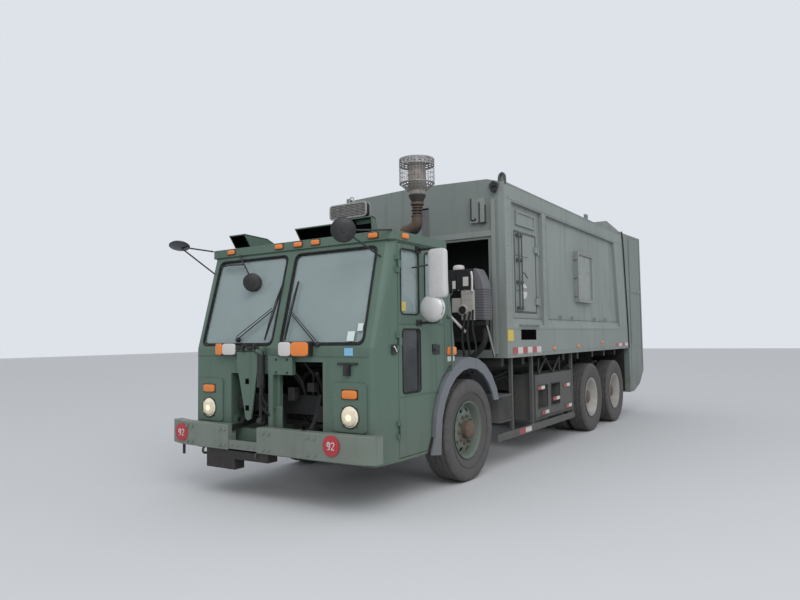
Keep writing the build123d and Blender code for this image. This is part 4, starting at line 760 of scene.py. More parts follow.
for side, sign in BOTH_SIDES:
    flip = np.diag([sign, 1, 1])
    cup = boxes([(CAB_SIDE, -750, 1346, 1187, -618, 1442), (CAB_SIDE, -736, 1360, 1191, -632, 1428)])
    paddle = boxes([(1190, -724, 1378, 1200, -644, 1402)])
    piece(f"door_handle_{side}", [moved(cup, turn=flip), moved(paddle, turn=flip)], black_plastic,
          f"door_{side}", bevel=3)
    arm = arc_path([(CAB_SIDE + 1, -1000, 2341), (STEM_X, STEM_Y, 2341), (STEM_X, STEM_Y, 1651),
                    (CAB_SIDE + 1, -1000, 1651)], 60)
    brace = arc_path([(CAB_SIDE + 1, -1110, 2160), (1290, -1050, 2180), (1400, STEM_Y, 2200)], 30)
    parts = [moved(tube(arm, 12.5, 12), turn=flip), moved(tube(brace, 8.5, 10), turn=flip)]
    feet = boxes([(CAB_SIDE, -1040, z - 30, 1194, -960, z + 30) for z in (1651, 2341)])
    feet_bolts = studs([(1194, y, z) for z in (1634, 1668, 2324, 2358) for y in (-1026, -974)], (1, 0, 0))
    parts += [moved(feet, turn=flip), moved(feet_bolts, turn=flip)]
    parts += [moved(boxes([(1400, -1010, z - 22, 1422, -984, z + 22) for z in (1940, 2270)]), turn=flip)]
    piece(f"mirror_arms_{side}", parts, black_plastic, f"door_{side}", bevel=1.5)
    edge = ring_path([(1319, 0, 1877), (1503, 0, 1877), (1503, 0, 2331), (1319, 0, 2331)], 46.0)
    head_rows = [(-1052, 0.0), (-1052, 0.6), (-1050, 0.86), (-1044, 0.98), (-1036, 1.0), (-1000, 1.0),
                 (-997, 0.985), (-998, 0.94)]
    shell = grid(np.stack([tall_ring(edge, y, grow) for y, grow in head_rows]), wrap_v=True)
    face = grid(np.stack([tall_ring(edge, -998, grow) for grow in (0.94, 0.0)]), wrap_v=True)
    bowl = lathe([(0, -60), (60, -54), (100, -42), (122, -26), (132, -6), (132, 3), (127, 6), (121, 4)],
                 ROUND_MIRROR, (0, 1, 0), 40)
    round_face = lathe([(121, 4), (70, 9), (0, 11)], ROUND_MIRROR, (0, 1, 0), 40)
    piece(f"mirror_shells_{side}", [moved(shell, turn=flip), moved(bowl, turn=flip)], pale_chrome,
          f"door_{side}")
    piece(f"mirror_faces_{side}", [moved(face, turn=flip), moved(round_face, turn=flip)], mirror_glass,
          f"door_{side}")
    base = boxes([(CAB_SIDE, -1452, 1368, 1189, -1380, 1456)])
    lever = tube(arc_path([(1189, -1434, 1436), (1200, -1434, 1436), (1200, -1400, 1392)], 8), 6, 8)
    piece(f"pillar_base_{side}", moved(base, turn=flip), black_plastic, "cab", bevel=3)
    piece(f"pillar_lever_{side}", moved(lever, turn=flip), silver, "cab")
    rail_line = [(1186, -440, 1180), (1222, -440, 1200), (1222, -440, 1700), (1186, -440, 1720)]
    rail = tube(arc_path(rail_line, 30), 11, 10)
    feet = studs([(1186, -440, 1180), (1186, -440, 1720)], (1, 0, 0), 22, 6, 16)
    piece(f"grab_rail_{side}", moved(join([rail, feet]), turn=flip), olive, "cab")

# %% Door panes and small labels
pane_rows = [("clear", clear_glass, door_panes[:2]), ("peep", dark_glass, door_panes[2:])]
for side, sign in BOTH_SIDES:
    for tag, finish, rows in pane_rows:
        panes = [slab(ring_path([(1158.0 * sign, y0, z0), (1158.0 * sign, y1, z0), (1158.0 * sign, y1, z1),
                                 (1158.0 * sign, y0, z1)], r),
                      (sign * 6.0, 0, 0)) for y0, y1, z0, z1, r in rows]
        piece(f"door_panes_{tag}_{side}", panes, finish, f"door_{side}",
              (f"door_glass_{side}",) if tag == "clear" else ())


def label(name, centre, across, up, finish, body):
    """Thin blank plate: centre plus and minus two half vectors."""
    centre, across, up = (np.asarray(v, float) for v in (centre, across, up))
    out = np.cross(across, up)
    corners = [centre - across - up, centre + across - up, centre + across + up, centre - across + up]
    return piece(name, slab(corners, out / np.linalg.norm(out) * 1.5, 0.02), finish, body)


label_white = plastic("label_white", (0.62, 0.70, 0.66), 0.4)
label_yellow = plastic("label_yellow", (0.60, 0.50, 0.12), 0.4)
slope = np.array((0, RAKE, 1)) / math.hypot(RAKE, 1)
label("pane_label_low", on_windshield(893, 1534, 4.0), (40, 0, 0), slope * 44, label_white, "cab")
label("pane_label_high", on_windshield(984, 1612, 4.0), (28, 0, 0), slope * 34, label_white, "cab")
label("door_label", (1167, -1235, 1800), (0, 34, 0), (0, 0, 42), label_yellow, "door_left")
label("cab_side_label", (1181, -392, 1294), (0, 70, 0), (0, 0, 24), label_white, "cab")

# %% [markdown]
# ## Lamps
# A lamp is read by its ring: a rolled bezel, then the lens crowned out of it.
# The square ones are pillows, a superellipse |x|^5 + |z|^5 = 1 whose rings
# shrink as they rise, with a moulded lip at the foot.

# %% Lamp shapes
def pillow(centre, half_a, half_b, depth, along, power=5.0, steps=40):
    """Lens: rings of a superellipse that shrink by cos t and rise by sin t."""
    a = np.arange(steps) * 2 * np.pi / steps
    c, s = np.cos(a), np.sin(a)
    unit = np.stack([np.sign(c) * np.abs(c) ** (2 / power), np.sign(s) * np.abs(s) ** (2 / power)], -1)
    t = np.array([0, 0.0, 0.25, 0.5, 0.75, 1.0]) * np.pi / 2
    shrink = np.concatenate([[1.0], np.cos(t[1:]) ** 0.35])
    rise = np.concatenate([[0.0], 0.45 + 0.55 * np.sin(t[1:])])
    rings = np.concatenate([unit[None] * shrink[:, None, None], np.zeros((1, steps, 2))])
    rise = np.append(rise, 1.0)
    points = np.stack([rings[..., 0] * half_a, rings[..., 1] * half_b,
                       np.broadcast_to(rise[:, None] * depth, rings.shape[:2])], -1)
    n = np.asarray(along, float)
    side = np.array((0, 0, 1.0)) if abs(n[2]) < 0.9 else np.array((0, 1.0, 0))
    u = np.cross(side, n)
    return moved(grid(points, wrap_v=True), centre, np.stack([u, side, n], 1))


LAMP_X, LAMP_Y, LAMP_Z = 905, -1704, 834
lamp_centre = (LAMP_X, LAMP_Y, LAMP_Z)
lamp_lens = lathe([(0, -26), (42, -23), (80, -15), (94, -3), (94, 4)], lamp_centre, (0, 1, 0), 48)
lamp_ring = lathe([(94, 4), (94, -5), (97, -8), (102, -6), (103, 4)], lamp_centre, (0, 1, 0), 48)
ring_screws = studs([(LAMP_X + 112 * np.cos(a), LAMP_Y, LAMP_Z - 4 + 112 * np.sin(a))
                     for a in (0.8, 2.35, 3.93, 5.5)], (0, -1, 0), 6, 4)
flutes = boxes([(LAMP_X - 62 + k * 14, -1731 + abs(k - 4.5) * 1.1, 779, LAMP_X - 60 + k * 14, -1722, 889)
                for k in range(10)])
piece("headlamp_lenses", both(join([lamp_lens, flutes])), lens_white, "cab")
piece("headlamp_rings", both(join([lamp_ring, ring_screws])), cast_iron, "cab")
bulb = both(lathe([(0, -32), (26, -30), (34, -25)], (LAMP_X, LAMP_Y + 4, LAMP_Z - 4), (0, 1, 0), 24))
glow = Finish("warm_lamp", Roughness=0.3)
glow.set("Base Color", (0.95, 0.80, 0.52))
glow.set("Emission Color", (1.0, 0.80, 0.45)).set("Emission Strength", 0.8)
piece("headlamp_bulbs", bulb, glow.material, "cab")

front, left = (0, -1, 0), (1, 0, 0)
roof_lamps = (-873, -180, 75, 300, 985)
amber_parts = [both(pillow((905, -1703, 1027), 80, 38, 24, front))]
amber_parts += [both(pillow((1180, -378, 1372), 86, 43, 22, left)),
                both(pillow((1194, -1240, 2440), 48, 24, 22, left))]
amber_parts += [pillow((x, -1438, 2442), 50, 24, 26, front) for x in roof_lamps]
cowl_lamps = [
    # left edge, right edge, lower edge, upper edge, amber or clear
    (263, 473, 1358, 1488, "amber"), (107, 259, 1358, 1488, "clear"),
    (-755, -661, 1366, 1478, "amber"), (-657, -470, 1366, 1478, "clear"),
]
cowl = {tint: [pillow(((x0 + x1) / 2, -1752, (z0 + z1) / 2), (x1 - x0) / 2, (z1 - z0) / 2, 14, front)
               for x0, x1, z0, z1, t in cowl_lamps if t == tint]
        for tint in ("amber", "clear")}
amber_parts += cowl["amber"]
piece("amber_lenses", amber_parts, amber_plastic, "cab", ("marker_lamps",))
piece("clear_lenses", cowl["clear"], lens_grey, "cab")
cups = [boxes([(103, -1752, 1354, 477, -1690, 1492), (-759, -1752, 1362, -466, -1690, 1482)])]
cups += [both(boxes([(812, -1706, 982, 998, -1698, 1072)]))]
cups += [boxes([(x - 58, -1444, 2412, x + 58, -1436, 2474) for x in roof_lamps])]
piece("lamp_cups", cups, black_plastic, "cab", bevel=3)

# %% [markdown]
# ## Wipers
# Each arm is a pair of thin rods side by side, as on a bus, so the blade stays
# upright while it sweeps.  The blade is a bowed steel bridge over a rubber
# strip.

# %% Wiper arms and blades
def wiper(pivot, wrist, low, high):
    """Two rods from the cowl to the wrist, a bridge, and a rubber blade on the glass."""
    p, w = on_windshield(*pivot, 30.0), on_windshield(*wrist, 34.0)
    foot, head = on_windshield(*low, 14.0), on_windshield(*high, 14.0)
    steel = [tube([p, w], 6.0, 8), tube([p + (0, 0, 34), w + (0, 0, 26)], 4.5, 8)]
    steel += [lathe([(0, 0), (24, 0), (24, 26), (16, 34), (0, 34)], on_windshield(*pivot, -4.0),
                    (0, -1, RAKE), 20)]
    t = np.linspace(0, 1, 9)[:, None]
    bow = foot * (1 - t) + head * t + np.array((0, -1, 0)) * 16 * np.sin(np.pi * t)
    steel += [tube(bow, 5.0, 8), tube([w, bow[4]], 6.0, 8)]
    edge = np.stack([foot + (head - foot) * k for k in (0, 0.5, 1)]) + np.array((0, 6, 0))
    return steel, [tube(edge, 7.0, 6)]


steel, strips = zip(*[wiper((-518, 1512), (-103, 1789), (-148, 1510), (-44, 2073)),
                      wiper((533, 1462), (137, 1771), (115, 1507), (153, 2071))])
piece("wiper_arms", sum(steel, []), black_plastic, "cab", ("wipers",))
piece("wiper_rubbers", sum(strips, []), seal_rubber, "cab")

# %% [markdown]
# ## Roof mirrors and hoods
# Two corner mirrors and a smaller one before the far pane are spun steel bowls
# on bent tubes.  From the camera the near one shows its dark back and the far
# one only its edge.

# %% Corner mirrors
def bowl_mirror(centre, look, radius):
    """Bowl behind a convex face: radius against depth, turned round the direction it looks."""
    back = lathe([(0, -42), (20, -42), (24, -38), (24, -31), (radius * 0.5, -28), (radius * 0.85, -18),
                  (radius, -4), (radius, 6), (radius - 5, 9)], centre, look, 40)
    face = lathe([(radius - 5, 8), (radius * 0.5, 15), (0, 17)], centre, look, 40)
    return back, face


heads = [bowl_mirror((943, -1822, 2448), (-0.61, 0.775, 0.16), 110),
         bowl_mirror((-1283, -1790, 2510), (0.2, -0.26, -0.94), 106),
         bowl_mirror((-405, -1590, 2085), (-0.5, 0.8, 0.3), 96)]
arms = [[(948, -1800, 2446), (1180, -1425, 2478)], [(948, -1800, 2436), (1089, -1446, 2229)],
        [(-1283, -1780, 2502), (-1180, -1425, 2478)], [(-1283, -1780, 2498), (-1102, -1474, 2225)],
        arc_path([(-405, -1580, 2090), (-540, -1530, 2210), (-735, -1455, 2400)], 50),
        arc_path([(-640, -1500, 2290), (-860, -1490, 2300), (-987, -1478, 2290)], 30)]
piece("corner_mirror_backs", [back for back, _ in heads] + [tube(path, 8.0, 10) for path in arms],
      black_plastic, "cab", ("corner_mirrors",))
piece("corner_mirror_faces", [face for _, face in heads],
      metal("dark_mirror", (0.10, 0.11, 0.12), 0.12, 0.0), "cab")

# %% [markdown]
# Three scoops stand on the roof.  Each is a folded hood open at the front;
# black sheets inside it are painted shade, so its mouth reads as a hole.

# %% Roof scoops
scoops, scoop_shade_sheets = [], []
scoop_rows = [
    # middle X, front Y, half width, length, foot, top, lean of the mouth
    (-855, -1390, 118, 620, 2510, 2636, 90.0),
    (135, -1300, 238, 480, 2510, 2634, 90.0),
    (440, -900, 135, 130, 2510, 2752, 20.0),
]
for x, y, half, length, low, high, lean in scoop_rows:
    side_line = [(y + lean, low), (y, high), (y + length * 0.55, high - 14), (y + length, low)]
    for sign in (-1, 1):
        scoops.append(slab([(x + sign * half, a, b) for a, b in side_line], (-sign * 10.0, 0, 0)))
    for (a0, b0), (a1, b1) in zip(side_line[1:], side_line[2:]):
        scoops.append(slab([(x - half, a0, b0), (x + half, a0, b0), (x + half, a1, b1), (x - half, a1, b1)],
                           (0, 0, -10.0)))
    # Painted shade: a black back wall, roof and cheeks inside each mouth stand in for the shade in the
    # scoop.
    back_y = y + lean + 60
    scoop_shade_sheets.append(boxes([(x - half + 10, back_y, low, x + half - 10, back_y + 8, high - 12)]))
    inside = half - 11
    scoop_shade_sheets.append(slab([(x - inside, y + 14, high - 13), (x + inside, y + 14, high - 13),
                         (x + inside, back_y, high - 16), (x - inside, back_y, high - 16)], (0, 0, -3.0)))
    cheek = ((y + lean + 4, low), (y + 12, high - 12), (back_y, high - 14), (back_y, low))
    for sign in (-1, 1):
        scoop_shade_sheets.append(slab([(x + sign * inside, a, b) for a, b in cheek], (-sign * 3.0, 0, 0)))
piece("roof_scoop_hoods", scoops, olive, "cab", ("roof_scoops",))
piece("roof_scoop_shade", scoop_shade_sheets, shadow_black, "cab")

# %% [markdown]
# ## Behind the grille-less front
# Between the lamps the front wall is open.  What shows there is the radiator's
# fins in the dark, coolant and hydraulic hoses, and the lift's ram and links.

# %% Radiator, hoses and the lift's parts
fins = boxes([(-300 + 7.5 * k, -1188, 690, -298 + 7.5 * k, -1180, 1240) for k in range(80)])
tubes_across = boxes([(-310, -1184, 700 + 26 * k, 310, -1180, 704 + 26 * k) for k in range(21)])
tanks_parts = boxes([(-330, -1196, 1236, 330, -1176, 1268), (-330, -1196, 644, 330, -1176, 690)])
piece("radiator_fins", [fins, tubes_across, tanks_parts], cast_iron, "chassis")

hose_runs = [
    # radius, bend, points
    (27, 90, [(250, -1200, 1210), (250, -1330, 1215), (120, -1420, 1180), (60, -1420, 900),
              (90, -1240, 700)]),
    (15, 60, [(-120, -1640, 1290), (-150, -1560, 1220), (-230, -1520, 1000), (-210, -1560, 760),
              (-330, -1500, 640)]),
    (13, 60, [(-170, -1640, 1280), (-260, -1560, 1180), (-330, -1500, 960), (-300, -1520, 720),
              (-380, -1460, 620)]),
    (13, 60, [(160, -1640, 1250), (220, -1560, 1130), (230, -1480, 880), (330, -1500, 720),
              (360, -1400, 600)]),
    (11, 50, [(330, -1640, 1290), (380, -1560, 1180), (300, -1500, 1010), (420, -1480, 820),
              (400, -1400, 640)]),
    (18, 70, [(480, -1640, 1200), (440, -1540, 1100), (500, -1500, 900), (470, -1420, 700)]),
    (11, 50, [(-450, -1640, 1150), (-480, -1560, 1040), (-430, -1500, 860), (-500, -1460, 690)]),
    (11, 50, [(-540, -1640, 1130), (-520, -1540, 960), (-540, -1500, 800), (-470, -1440, 660)]),
    (14, 60, [(90, -1600, 1280), (100, -1520, 1160), (180, -1450, 1010), (130, -1440, 760),
              (200, -1300, 640)]),
]
hoses = [tube(arc_path(points, bend, 8), radius, 10) for radius, bend, points in hose_runs]
piece("front_hoses", hoses, seal_rubber, "cab")
clamps = []
for radius, bend, points in hose_runs:
    path = arc_path(points, bend, 8)
    for k in (6, len(path) - 6):
        low, high = radius + 0.5, radius + 3.5
        band = [(low, -6), (high, -6), (high, 6), (low, 6), (low, -6)]
        clamps.append(lathe(band, path[k], path[k + 1] - path[k - 1], 16))
valves = boxes([(-420, -1640, 1000, -330, -1560, 1120), (-560, -1640, 840, -470, -1570, 960),
                (360, -1640, 1030, 440, -1570, 1110), (470, -1640, 760, 560, -1560, 900),
                (120, -1640, 940, 200, -1580, 1060)])
caps = [studs([(-375 + dx, -1640, z) for dx in (-24, 24) for z in (1030, 1090)], (0, -1, 0), 12, 14)]
piece("front_valves", [valves] + clamps + caps, seal_rubber, "cab", bevel=2)

face_y = -1750.0
wedge = [(-470, 1352), (-470, 1398), (-154, 1398), (-154, 1352), (-244, 842), (-262, 756), (-306, 738),
         (-334, 756), (-350, 842)]
lift_arm = [slab([(x, face_y, z) for x, z in wedge], (0, 16, 0), 0.0),
            boxes([(-470, -1750, 1290, -456, -1690, 1398)])]
lift_arm += [boxes([(-44, -1736, 1184, 262, -1690, 1359), (-38, -1740, 660, 18, -1690, 1190),
                    (18, -1706, 672, 103, -1690, 892)])]
lift_arm += [lathe([(0, 0), (24, 0), (24, 400), (0, 400)], (-500, -1730, 1424), (1, 0, 0), 20),
             lathe([(0, 0), (42, 0), (42, 66), (0, 66)], (-178, -1730, 1404), (1, 0, 0), 28)]
piece("lift_arm", lift_arm, olive, "cab", ("lift_frame",), bevel=2)
shaft_parts = [lathe([(0, 0), (r, 0), (r + 4, 6), (r + 4, w - 6), (r, w), (0, w)], (x, y, z), (1, 0, 0), 24)
               for x, y, z, r, w in ((-452, -1746, 1436, 20, 44), (-372, -1752, 1440, 26, 30),
                                     (-300, -1746, 1432, 18, 60), (-208, -1752, 1446, 30, 26))]
shaft_parts += [tube(points, 8, 8) for points in ([(-440, -1756, 1452), (-330, -1770, 1398)],
                                                  [(-330, -1762, 1462), (-240, -1768, 1420)],
                                                  [(-200, -1760, 1470), (-120, -1764, 1416)])]
# Painted shade: two black plates on the lift arm stand in for the shade seen through its holes.
piece("lift_arm_hole_shade", boxes([(-334, -1752, 1088, -286, -1750, 1140),
                               (-334, -1752, 834, -286, -1750, 884)]), shadow_black, "cab")
piece("lift_shaft", shaft_parts, black_paint, "cab", angle=30)

ram = [lathe([(0, 0), (34, 0), (36, 8), (36, 300), (40, 304), (40, 330), (20, 334), (0, 334)],
             (-146, -1730, 1392), (0, 0, -1), 28)]
rod = [lathe([(0, 330), (15, 330), (15, 640), (0, 640)], (-146, -1730, 1392), (0, 0, -1), 20)]
piece("lift_ram_rod", rod, cast_iron, "cab")
eyes = [lathe([(14, -26), (34, -26), (36, -20), (36, 20), (34, 26), (14, 26), (14, -26)], p, (1, 0, 0), 24)
        for p in ((-146, -1730, 742), (-146, -1730, 1404))]
bolts = studs([(-166 + dx, -1762, z) for dx in (-12, 12) for z in (1392, 1434)]
              + [(x, -1737, z) for x in (-60, 60, 200) for z in (1206, 1326)]
              + [(x, -1737, z) for x in (-64, 48) for z in (700, 866)],
              (0, -1, 0), 11, 9)
line_runs = [[(-100, -1750, 1180), (-60, -1790, 1120), (-80, -1780, 960), (-40, -1740, 880)],
             [(-120, -1765, 1080), (-70, -1800, 1040), (-95, -1790, 900), (-20, -1740, 800)]]
lines = [tube(arc_path(points, 40, 8), 9, 8) for points in line_runs]
piece("lift_ram_parts", ram + eyes + [bolts], black_paint, "cab", angle=30)
piece("lift_lines", lines, seal_rubber, "cab")

# %% [markdown]
# ## Cab panel work
# Pressed lines, a folded drip rail, latch bars, hinge bolts and a few blank
# plates break up the cab's flat sheets.

# %% Cab trim
drip = np.concatenate([[(1186, -520, 2398)], [(1188, -1330, 2398)], [(1150, -1436, 2398)]])
belt = [both(tube([(1183, -530, 985), (1183, -1330, 985)], 3.2, 6)),
        both(tube([(1183, -530, 1640), (1183, -1320, 1640)], 3.0, 6))]
trim = [both(tube(drip, 7.0, 8)), tube([(-1140, -1440, 2400), (1140, -1440, 2400)], 7.0, 8)] + belt
trim += [tube([(-1100, -1694, 1356), (1100, -1694, 1356)], 3.4, 6)]
piece("cab_trim", trim, olive, "cab", bevel=1)
latches = [boxes([(768, -1706, 1284, 986, -1690, 1302), (846, -1722, 1188, 908, -1690, 1284),
                  (858, -1728, 1204, 896, -1722, 1268)])]
latches += [studs([(x, -1704, 1293) for x in (780, 974)], (0, -1, 0), 7, 5)]
piece("cab_latches", latches, black_plastic, "cab", bevel=2)
rivets = [studs([(x, -1690, 1396) for x in np.arange(-1080, 1090, 90)], (0, -1, 0), 5, 3, 8)]
rivets += [both(studs([(1180, y, 2385) for y in np.arange(-1300, -500, 80)], (1, 0, 0), 5, 3, 8))]
rivets += [both(studs([(1180, -440, z) for z in np.arange(900, 2350, 90)], (1, 0, 0), 5, 3, 8))]
rivets += [both(studs([(720 + dx, -1704, z) for dx in (0, 350) for z in (716, 800, 900, 1000, 1112)],
                      (0, -1, 0), 6, 4, 8))]
rivets += [studs([(x, -1440, 2466) for x in np.arange(-1100, 1110, 110)], (0, -1, 0), 5, 3, 8)]
piece("cab_rivets", rivets, olive, "cab")
piece("cab_stickers", [slab([(840, -1691.5, 1364), (934, -1691.5, 1364), (934, -1691.5, 1430),
                             (840, -1691.5, 1430)], (0, -1.5, 0), 0.02)],
      plastic("pale_sticker", (0.22, 0.48, 0.70), 0.4), "cab")

tape_red = plastic("red_tape", (0.38, 0.060, 0.055), 0.4)
tape_white = plastic("white_tape", (0.60, 0.58, 0.55), 0.35)


def tape(start, end, count, width, out, body, name):
    """Reflective tape: a strip cut into equal red and white lengths along a line."""
    start, end = np.asarray(start, float), np.asarray(end, float)
    cuts = np.linspace(0, 1, count + 1)
    up = np.array((0, 0, width / 2))
    for offset, finish, tag in ((0, tape_red, "red"), (1, tape_white, "white")):
        strips = []
        for k in range(offset, count, 2):
            a, b = start + (end - start) * cuts[k], start + (end - start) * cuts[k + 1]
            strips.append(slab([a - up, b - up, b + up, a + up], np.asarray(out, float), 0.02))
        piece(f"{name}_{tag}", strips, finish, body)


# %% [markdown]
# ## Bumper
# The bumper is folded channel, held by big bolts.  A red disc with a plain
# number stands near each end; each figure is one raised stroke.

# %% Bumper fittings
bolt_rows = [
    # X of each bolt, its Y, heights, radius, length
    ((20, 90, 560, 640, -500, -560, -980, -1050), BUMPER_FACE, (505, 655), 15, 11),
    ((-410, -330, -190, -110), -1855, (512,), 12, 10),
]
bumper_bolts = [studs([(x, y, z) for x in columns for z in heights], (0, -1, 0), radius, reach)
                for columns, y, heights, radius, reach in bolt_rows]
piece("bumper_bolts", bumper_bolts, bumper_paint, "chassis")


def channel(plan, depth=100.0, wall=12.0, low=465.0, high=700.0):
    """Folded channel: a C of depth against height carried along a plan line, with both ends closed."""
    c = np.array([(0, low + 5), (0, high - 5), (5, high), (depth, high), (depth, high - wall),
                  (wall, high - wall), (wall, low + wall), (depth, low + wall), (depth, low),
                  (5, low)], float)
    plan = arc_path(plan, 70, 5)
    points = np.stack([np.broadcast_to(plan[:, None, 0], (len(plan), len(c))),
                       plan[:, None, 1] + c[None, :, 0],
                       np.broadcast_to(c[None, :, 1], (len(plan), len(c)))], -1)
    tunnel = grid(points, wrap_v=True)
    plates = [slab([(x, y + 2, low + 2), (x, y + depth, low + 2), (x, y + depth, high - 2),
                    (x, y + 2, high - 2)], (inward, 0, 0))
              for x, y, inward in ((plan[0, 0], plan[0, 1], 8 * np.sign(plan[-1, 0])),
                                   (plan[-1, 0], plan[-1, 1], -8 * np.sign(plan[-1, 0])))]
    return join([tunnel] + plates)


bumper = [channel([(-67, -1864, 0), (700, -1864, 0), (1120, -1850, 0), (1250, -1802, 0)]),
          channel([(-452, -1864, 0), (-700, -1864, 0), (-1150, -1852, 0), (-1352, -1788, 0)])]
bumper += [boxes([(-466, -1856, 465, -55, -1844, 562), (-466, -1856, 465, -55, -1764, 477)])]
piece("bumper_channels", bumper, bumper_paint, "chassis", ("front_bumper",))
skid = boxes([(-776, -1846, 280, -380, -1720, 462), (-380, -1846, 380, 60, -1720, 462),
              (-1330, -1700, 330, -1290, -1690, 470)])
piece("bumper_skid", skid, cast_iron, "chassis", bevel=4)
disc_rows = [(823, -1866, 603, -0.02), (-1140, -1860, 587, 0.04)]
discs = [lathe([(0, -8), (90, -8), (90, 3), (86, 4), (0, 4)], (x, y, z), (lean, -1, 0), 48)
         for x, y, z, lean in disc_rows]
piece("bumper_discs", discs, plastic("disc_red", (0.42, 0.028, 0.040), 0.4), "chassis")
a = np.linspace(0, 2 * np.pi, 25)
nine = np.concatenate([np.stack([-22 - 15 * np.cos(a[::-1]), 12 + 17 * np.sin(a[::-1])], -1)[:24],
                       [(-7, 12), (-7, -4), (-13, -24), (-30, -30)]])
bend = np.linspace(np.pi * 0.95, -np.pi * 0.22, 12)
two = np.concatenate([np.stack([22 + 15 * np.cos(bend), 14 + 15 * np.sin(bend)], -1),
                      [(8, -29), (38, -29)]])
digits = []
for stroke in (nine, two):
    for x, y, z, lean in disc_rows:
        across, up = stroke.T
        path = np.stack([x + across * 1.05, y - 4.5 + lean * across, z + up * 1.05], -1)
        digits.append(tube(path, 4.6, 6))
piece("bumper_numbers", digits, tape_white, "chassis")
hooks = [tube(arc_path([(x, -1840, 466), (x, -1862, 430), (x, -1840, 400), (x, -1780, 400)], 24), 12, 10)
         for x in (-820, -90)]
piece("tow_hooks", hooks, black_paint, "chassis")

# %% [markdown]
# ## Exhaust stack
# The stack ends in a big perforated cage that keeps sparks in.  Its wall is a
# lattice of thin upright strips and rings, and its lid, dish and upper band are
# sheets with real holes.

# %% Exhaust
CAGE_X, STACK_X, STACK_Y = 645.0, 464.0, -130.0
PIPE_R, CAGE_R = 50, 196
pipe = [lathe([(0, 1032), (88, 1032), (92, 1050), (92, 1960), (80, 1990), (52, 2010), (50, 2020)],
              (STACK_X, STACK_Y, 0), (0, 0, 1), 40)]
pipe += [tube(arc_path([(STACK_X, STACK_Y, 2000), (STACK_X, STACK_Y, 2700), (CAGE_X, STACK_Y, 2690),
                        (CAGE_X, STACK_Y, 3010)], 90, 10), PIPE_R, 24)]
pipe += [lathe([(52, 2990), (58, 3000), (98, 3078), (98, 3086), (50, 3086)], (CAGE_X, STACK_Y, 0),
               (0, 0, 1), 40)]
for z, x in ((2030, STACK_X), (2560, STACK_X), (2800, CAGE_X), (2985, CAGE_X)):
    pipe += [lathe([(PIPE_R, z - 16), (57, z - 16), (57, z + 16), (PIPE_R, z + 16)], (x, STACK_Y, 0),
                   (0, 0, 1), 32)]
piece("exhaust_pipes", pipe, metal("pipe_steel", (0.045, 0.043, 0.042), 0.6, 0.6, 0.4), "chassis")
wires = [moved(boxes([(192.5, -1.6, 3215, 195.5, 1.6, 3420)]),
               turn=[[np.cos(t), -np.sin(t), 0], [np.sin(t), np.cos(t), 0], [0, 0, 1]])
         for t in np.arange(36) * np.pi / 18]
wires += [lathe([(CAGE_R - 4, z), (CAGE_R, z), (CAGE_R, z + h), (CAGE_R - 4, z + h), (CAGE_R - 4, z)],
                (0, 0, 0), (0, 0, 1), 56)
          for z, h in ((3210, 10), (3412, 10), (3480, 8), (3262, 3), (3314, 3), (3366, 3))]
band = [(CAGE_R, z) for z in range(3420, 3481, 12)]
lid = [(CAGE_R, 3482), (178, 3484), (160, 3486), (138, 3487), (116, 3488), (92, 3489), (66, 3489),
       (40, 3490), (16, 3490)]
dish = [(194, 3214), (182, 3203), (168, 3190), (155, 3178), (142, 3166), (130, 3155), (118, 3144),
        (104, 3131)]
cage = [moved(p, (CAGE_X, STACK_Y, 0)) for p in wires] + [pierced_band(p, (CAGE_X, STACK_Y, 0))
                                                          for p in (band, lid, dish)]
piece("exhaust_cage", cage, metal("cage_steel", (0.30, 0.295, 0.285), 0.5, 0.35, 0.55), "chassis",
      ("exhaust",))
core = [lathe([(0, 3010), (54, 3010), (60, 3030), (88, 3090), (98, 3120), (98, 3440), (0, 3440)],
              (CAGE_X, STACK_Y, 0), (0, 0, 1), 40)]
core += [lathe([(98, z), (103, z + 3), (103, z + 15), (98, z + 18)], (CAGE_X, STACK_Y, 0), (0, 0, 1), 40)
         for z in (3124, 3300, 3405)]
piece("exhaust_core", core, metal("heated_steel", (0.34, 0.30, 0.265), 0.55, 0.5, 0.4), "chassis")
collars = [lathe([(PIPE_R, z - h), (r, z - h), (r + 3, z - h + 3), (r + 3, z + h - 3), (r, z + h),
                  (PIPE_R, z + h)], (x, STACK_Y, 0), (0, 0, 1), 32)
           for z, x, r, h in ((2990, CAGE_X, 72, 16), (2950, CAGE_X, 60, 7), (2918, CAGE_X, 66, 6),
                              (2886, CAGE_X, 60, 7), (2852, CAGE_X, 68, 8), (2560, STACK_X, 60, 14))]
collars += [tube(arc_path([(STACK_X, STACK_Y, 2540), (STACK_X, STACK_Y, 2700), (560, STACK_Y, 2712),
                           (CAGE_X, STACK_Y, 2760), (CAGE_X, STACK_Y, 2860)], 90, 10), 64, 24)]
piece("exhaust_collars", collars, metal("scorched_steel", (0.120, 0.085, 0.068), 0.65, 0.6, 0.3), "chassis")
bracket = boxes([(700, STACK_Y - 6, 2420, 790, STACK_Y + 6, 2925),
                 (640, STACK_Y - 6, 2905, 790, STACK_Y + 6, 2925),
                 (464, STACK_Y - 6, 2420, 790, STACK_Y + 6, 2436)])
piece("exhaust_bracket", [bracket], gap_grey, "chassis", bevel=2)

# %% [markdown]
# ## Between cab and body
# Coolers, the air cleaner and their hoses stand in the gap behind the cab, with
# the engine's pipes running up to them.

# %% Gap fittings
def round_edged(x0, y0, z0, x1, y1, z1, r):
    """Box with its upright edges rounded: a plan loop lifted from floor to top, closed at both ends."""
    plan = ring_path([(x0, y0, 0), (x1, y0, 0), (x1, y1, 0), (x0, y1, 0)], r, 5)
    levels = [plan + (0, 0, z) for z in (z0, z0 + 3, z1 - 3, z1)]
    caps = [np.broadcast_to(level.mean(0), level.shape) for level in (levels[0], levels[-1])]
    return grid(np.stack([caps[0]] + levels + [caps[1]]), wrap_v=True)


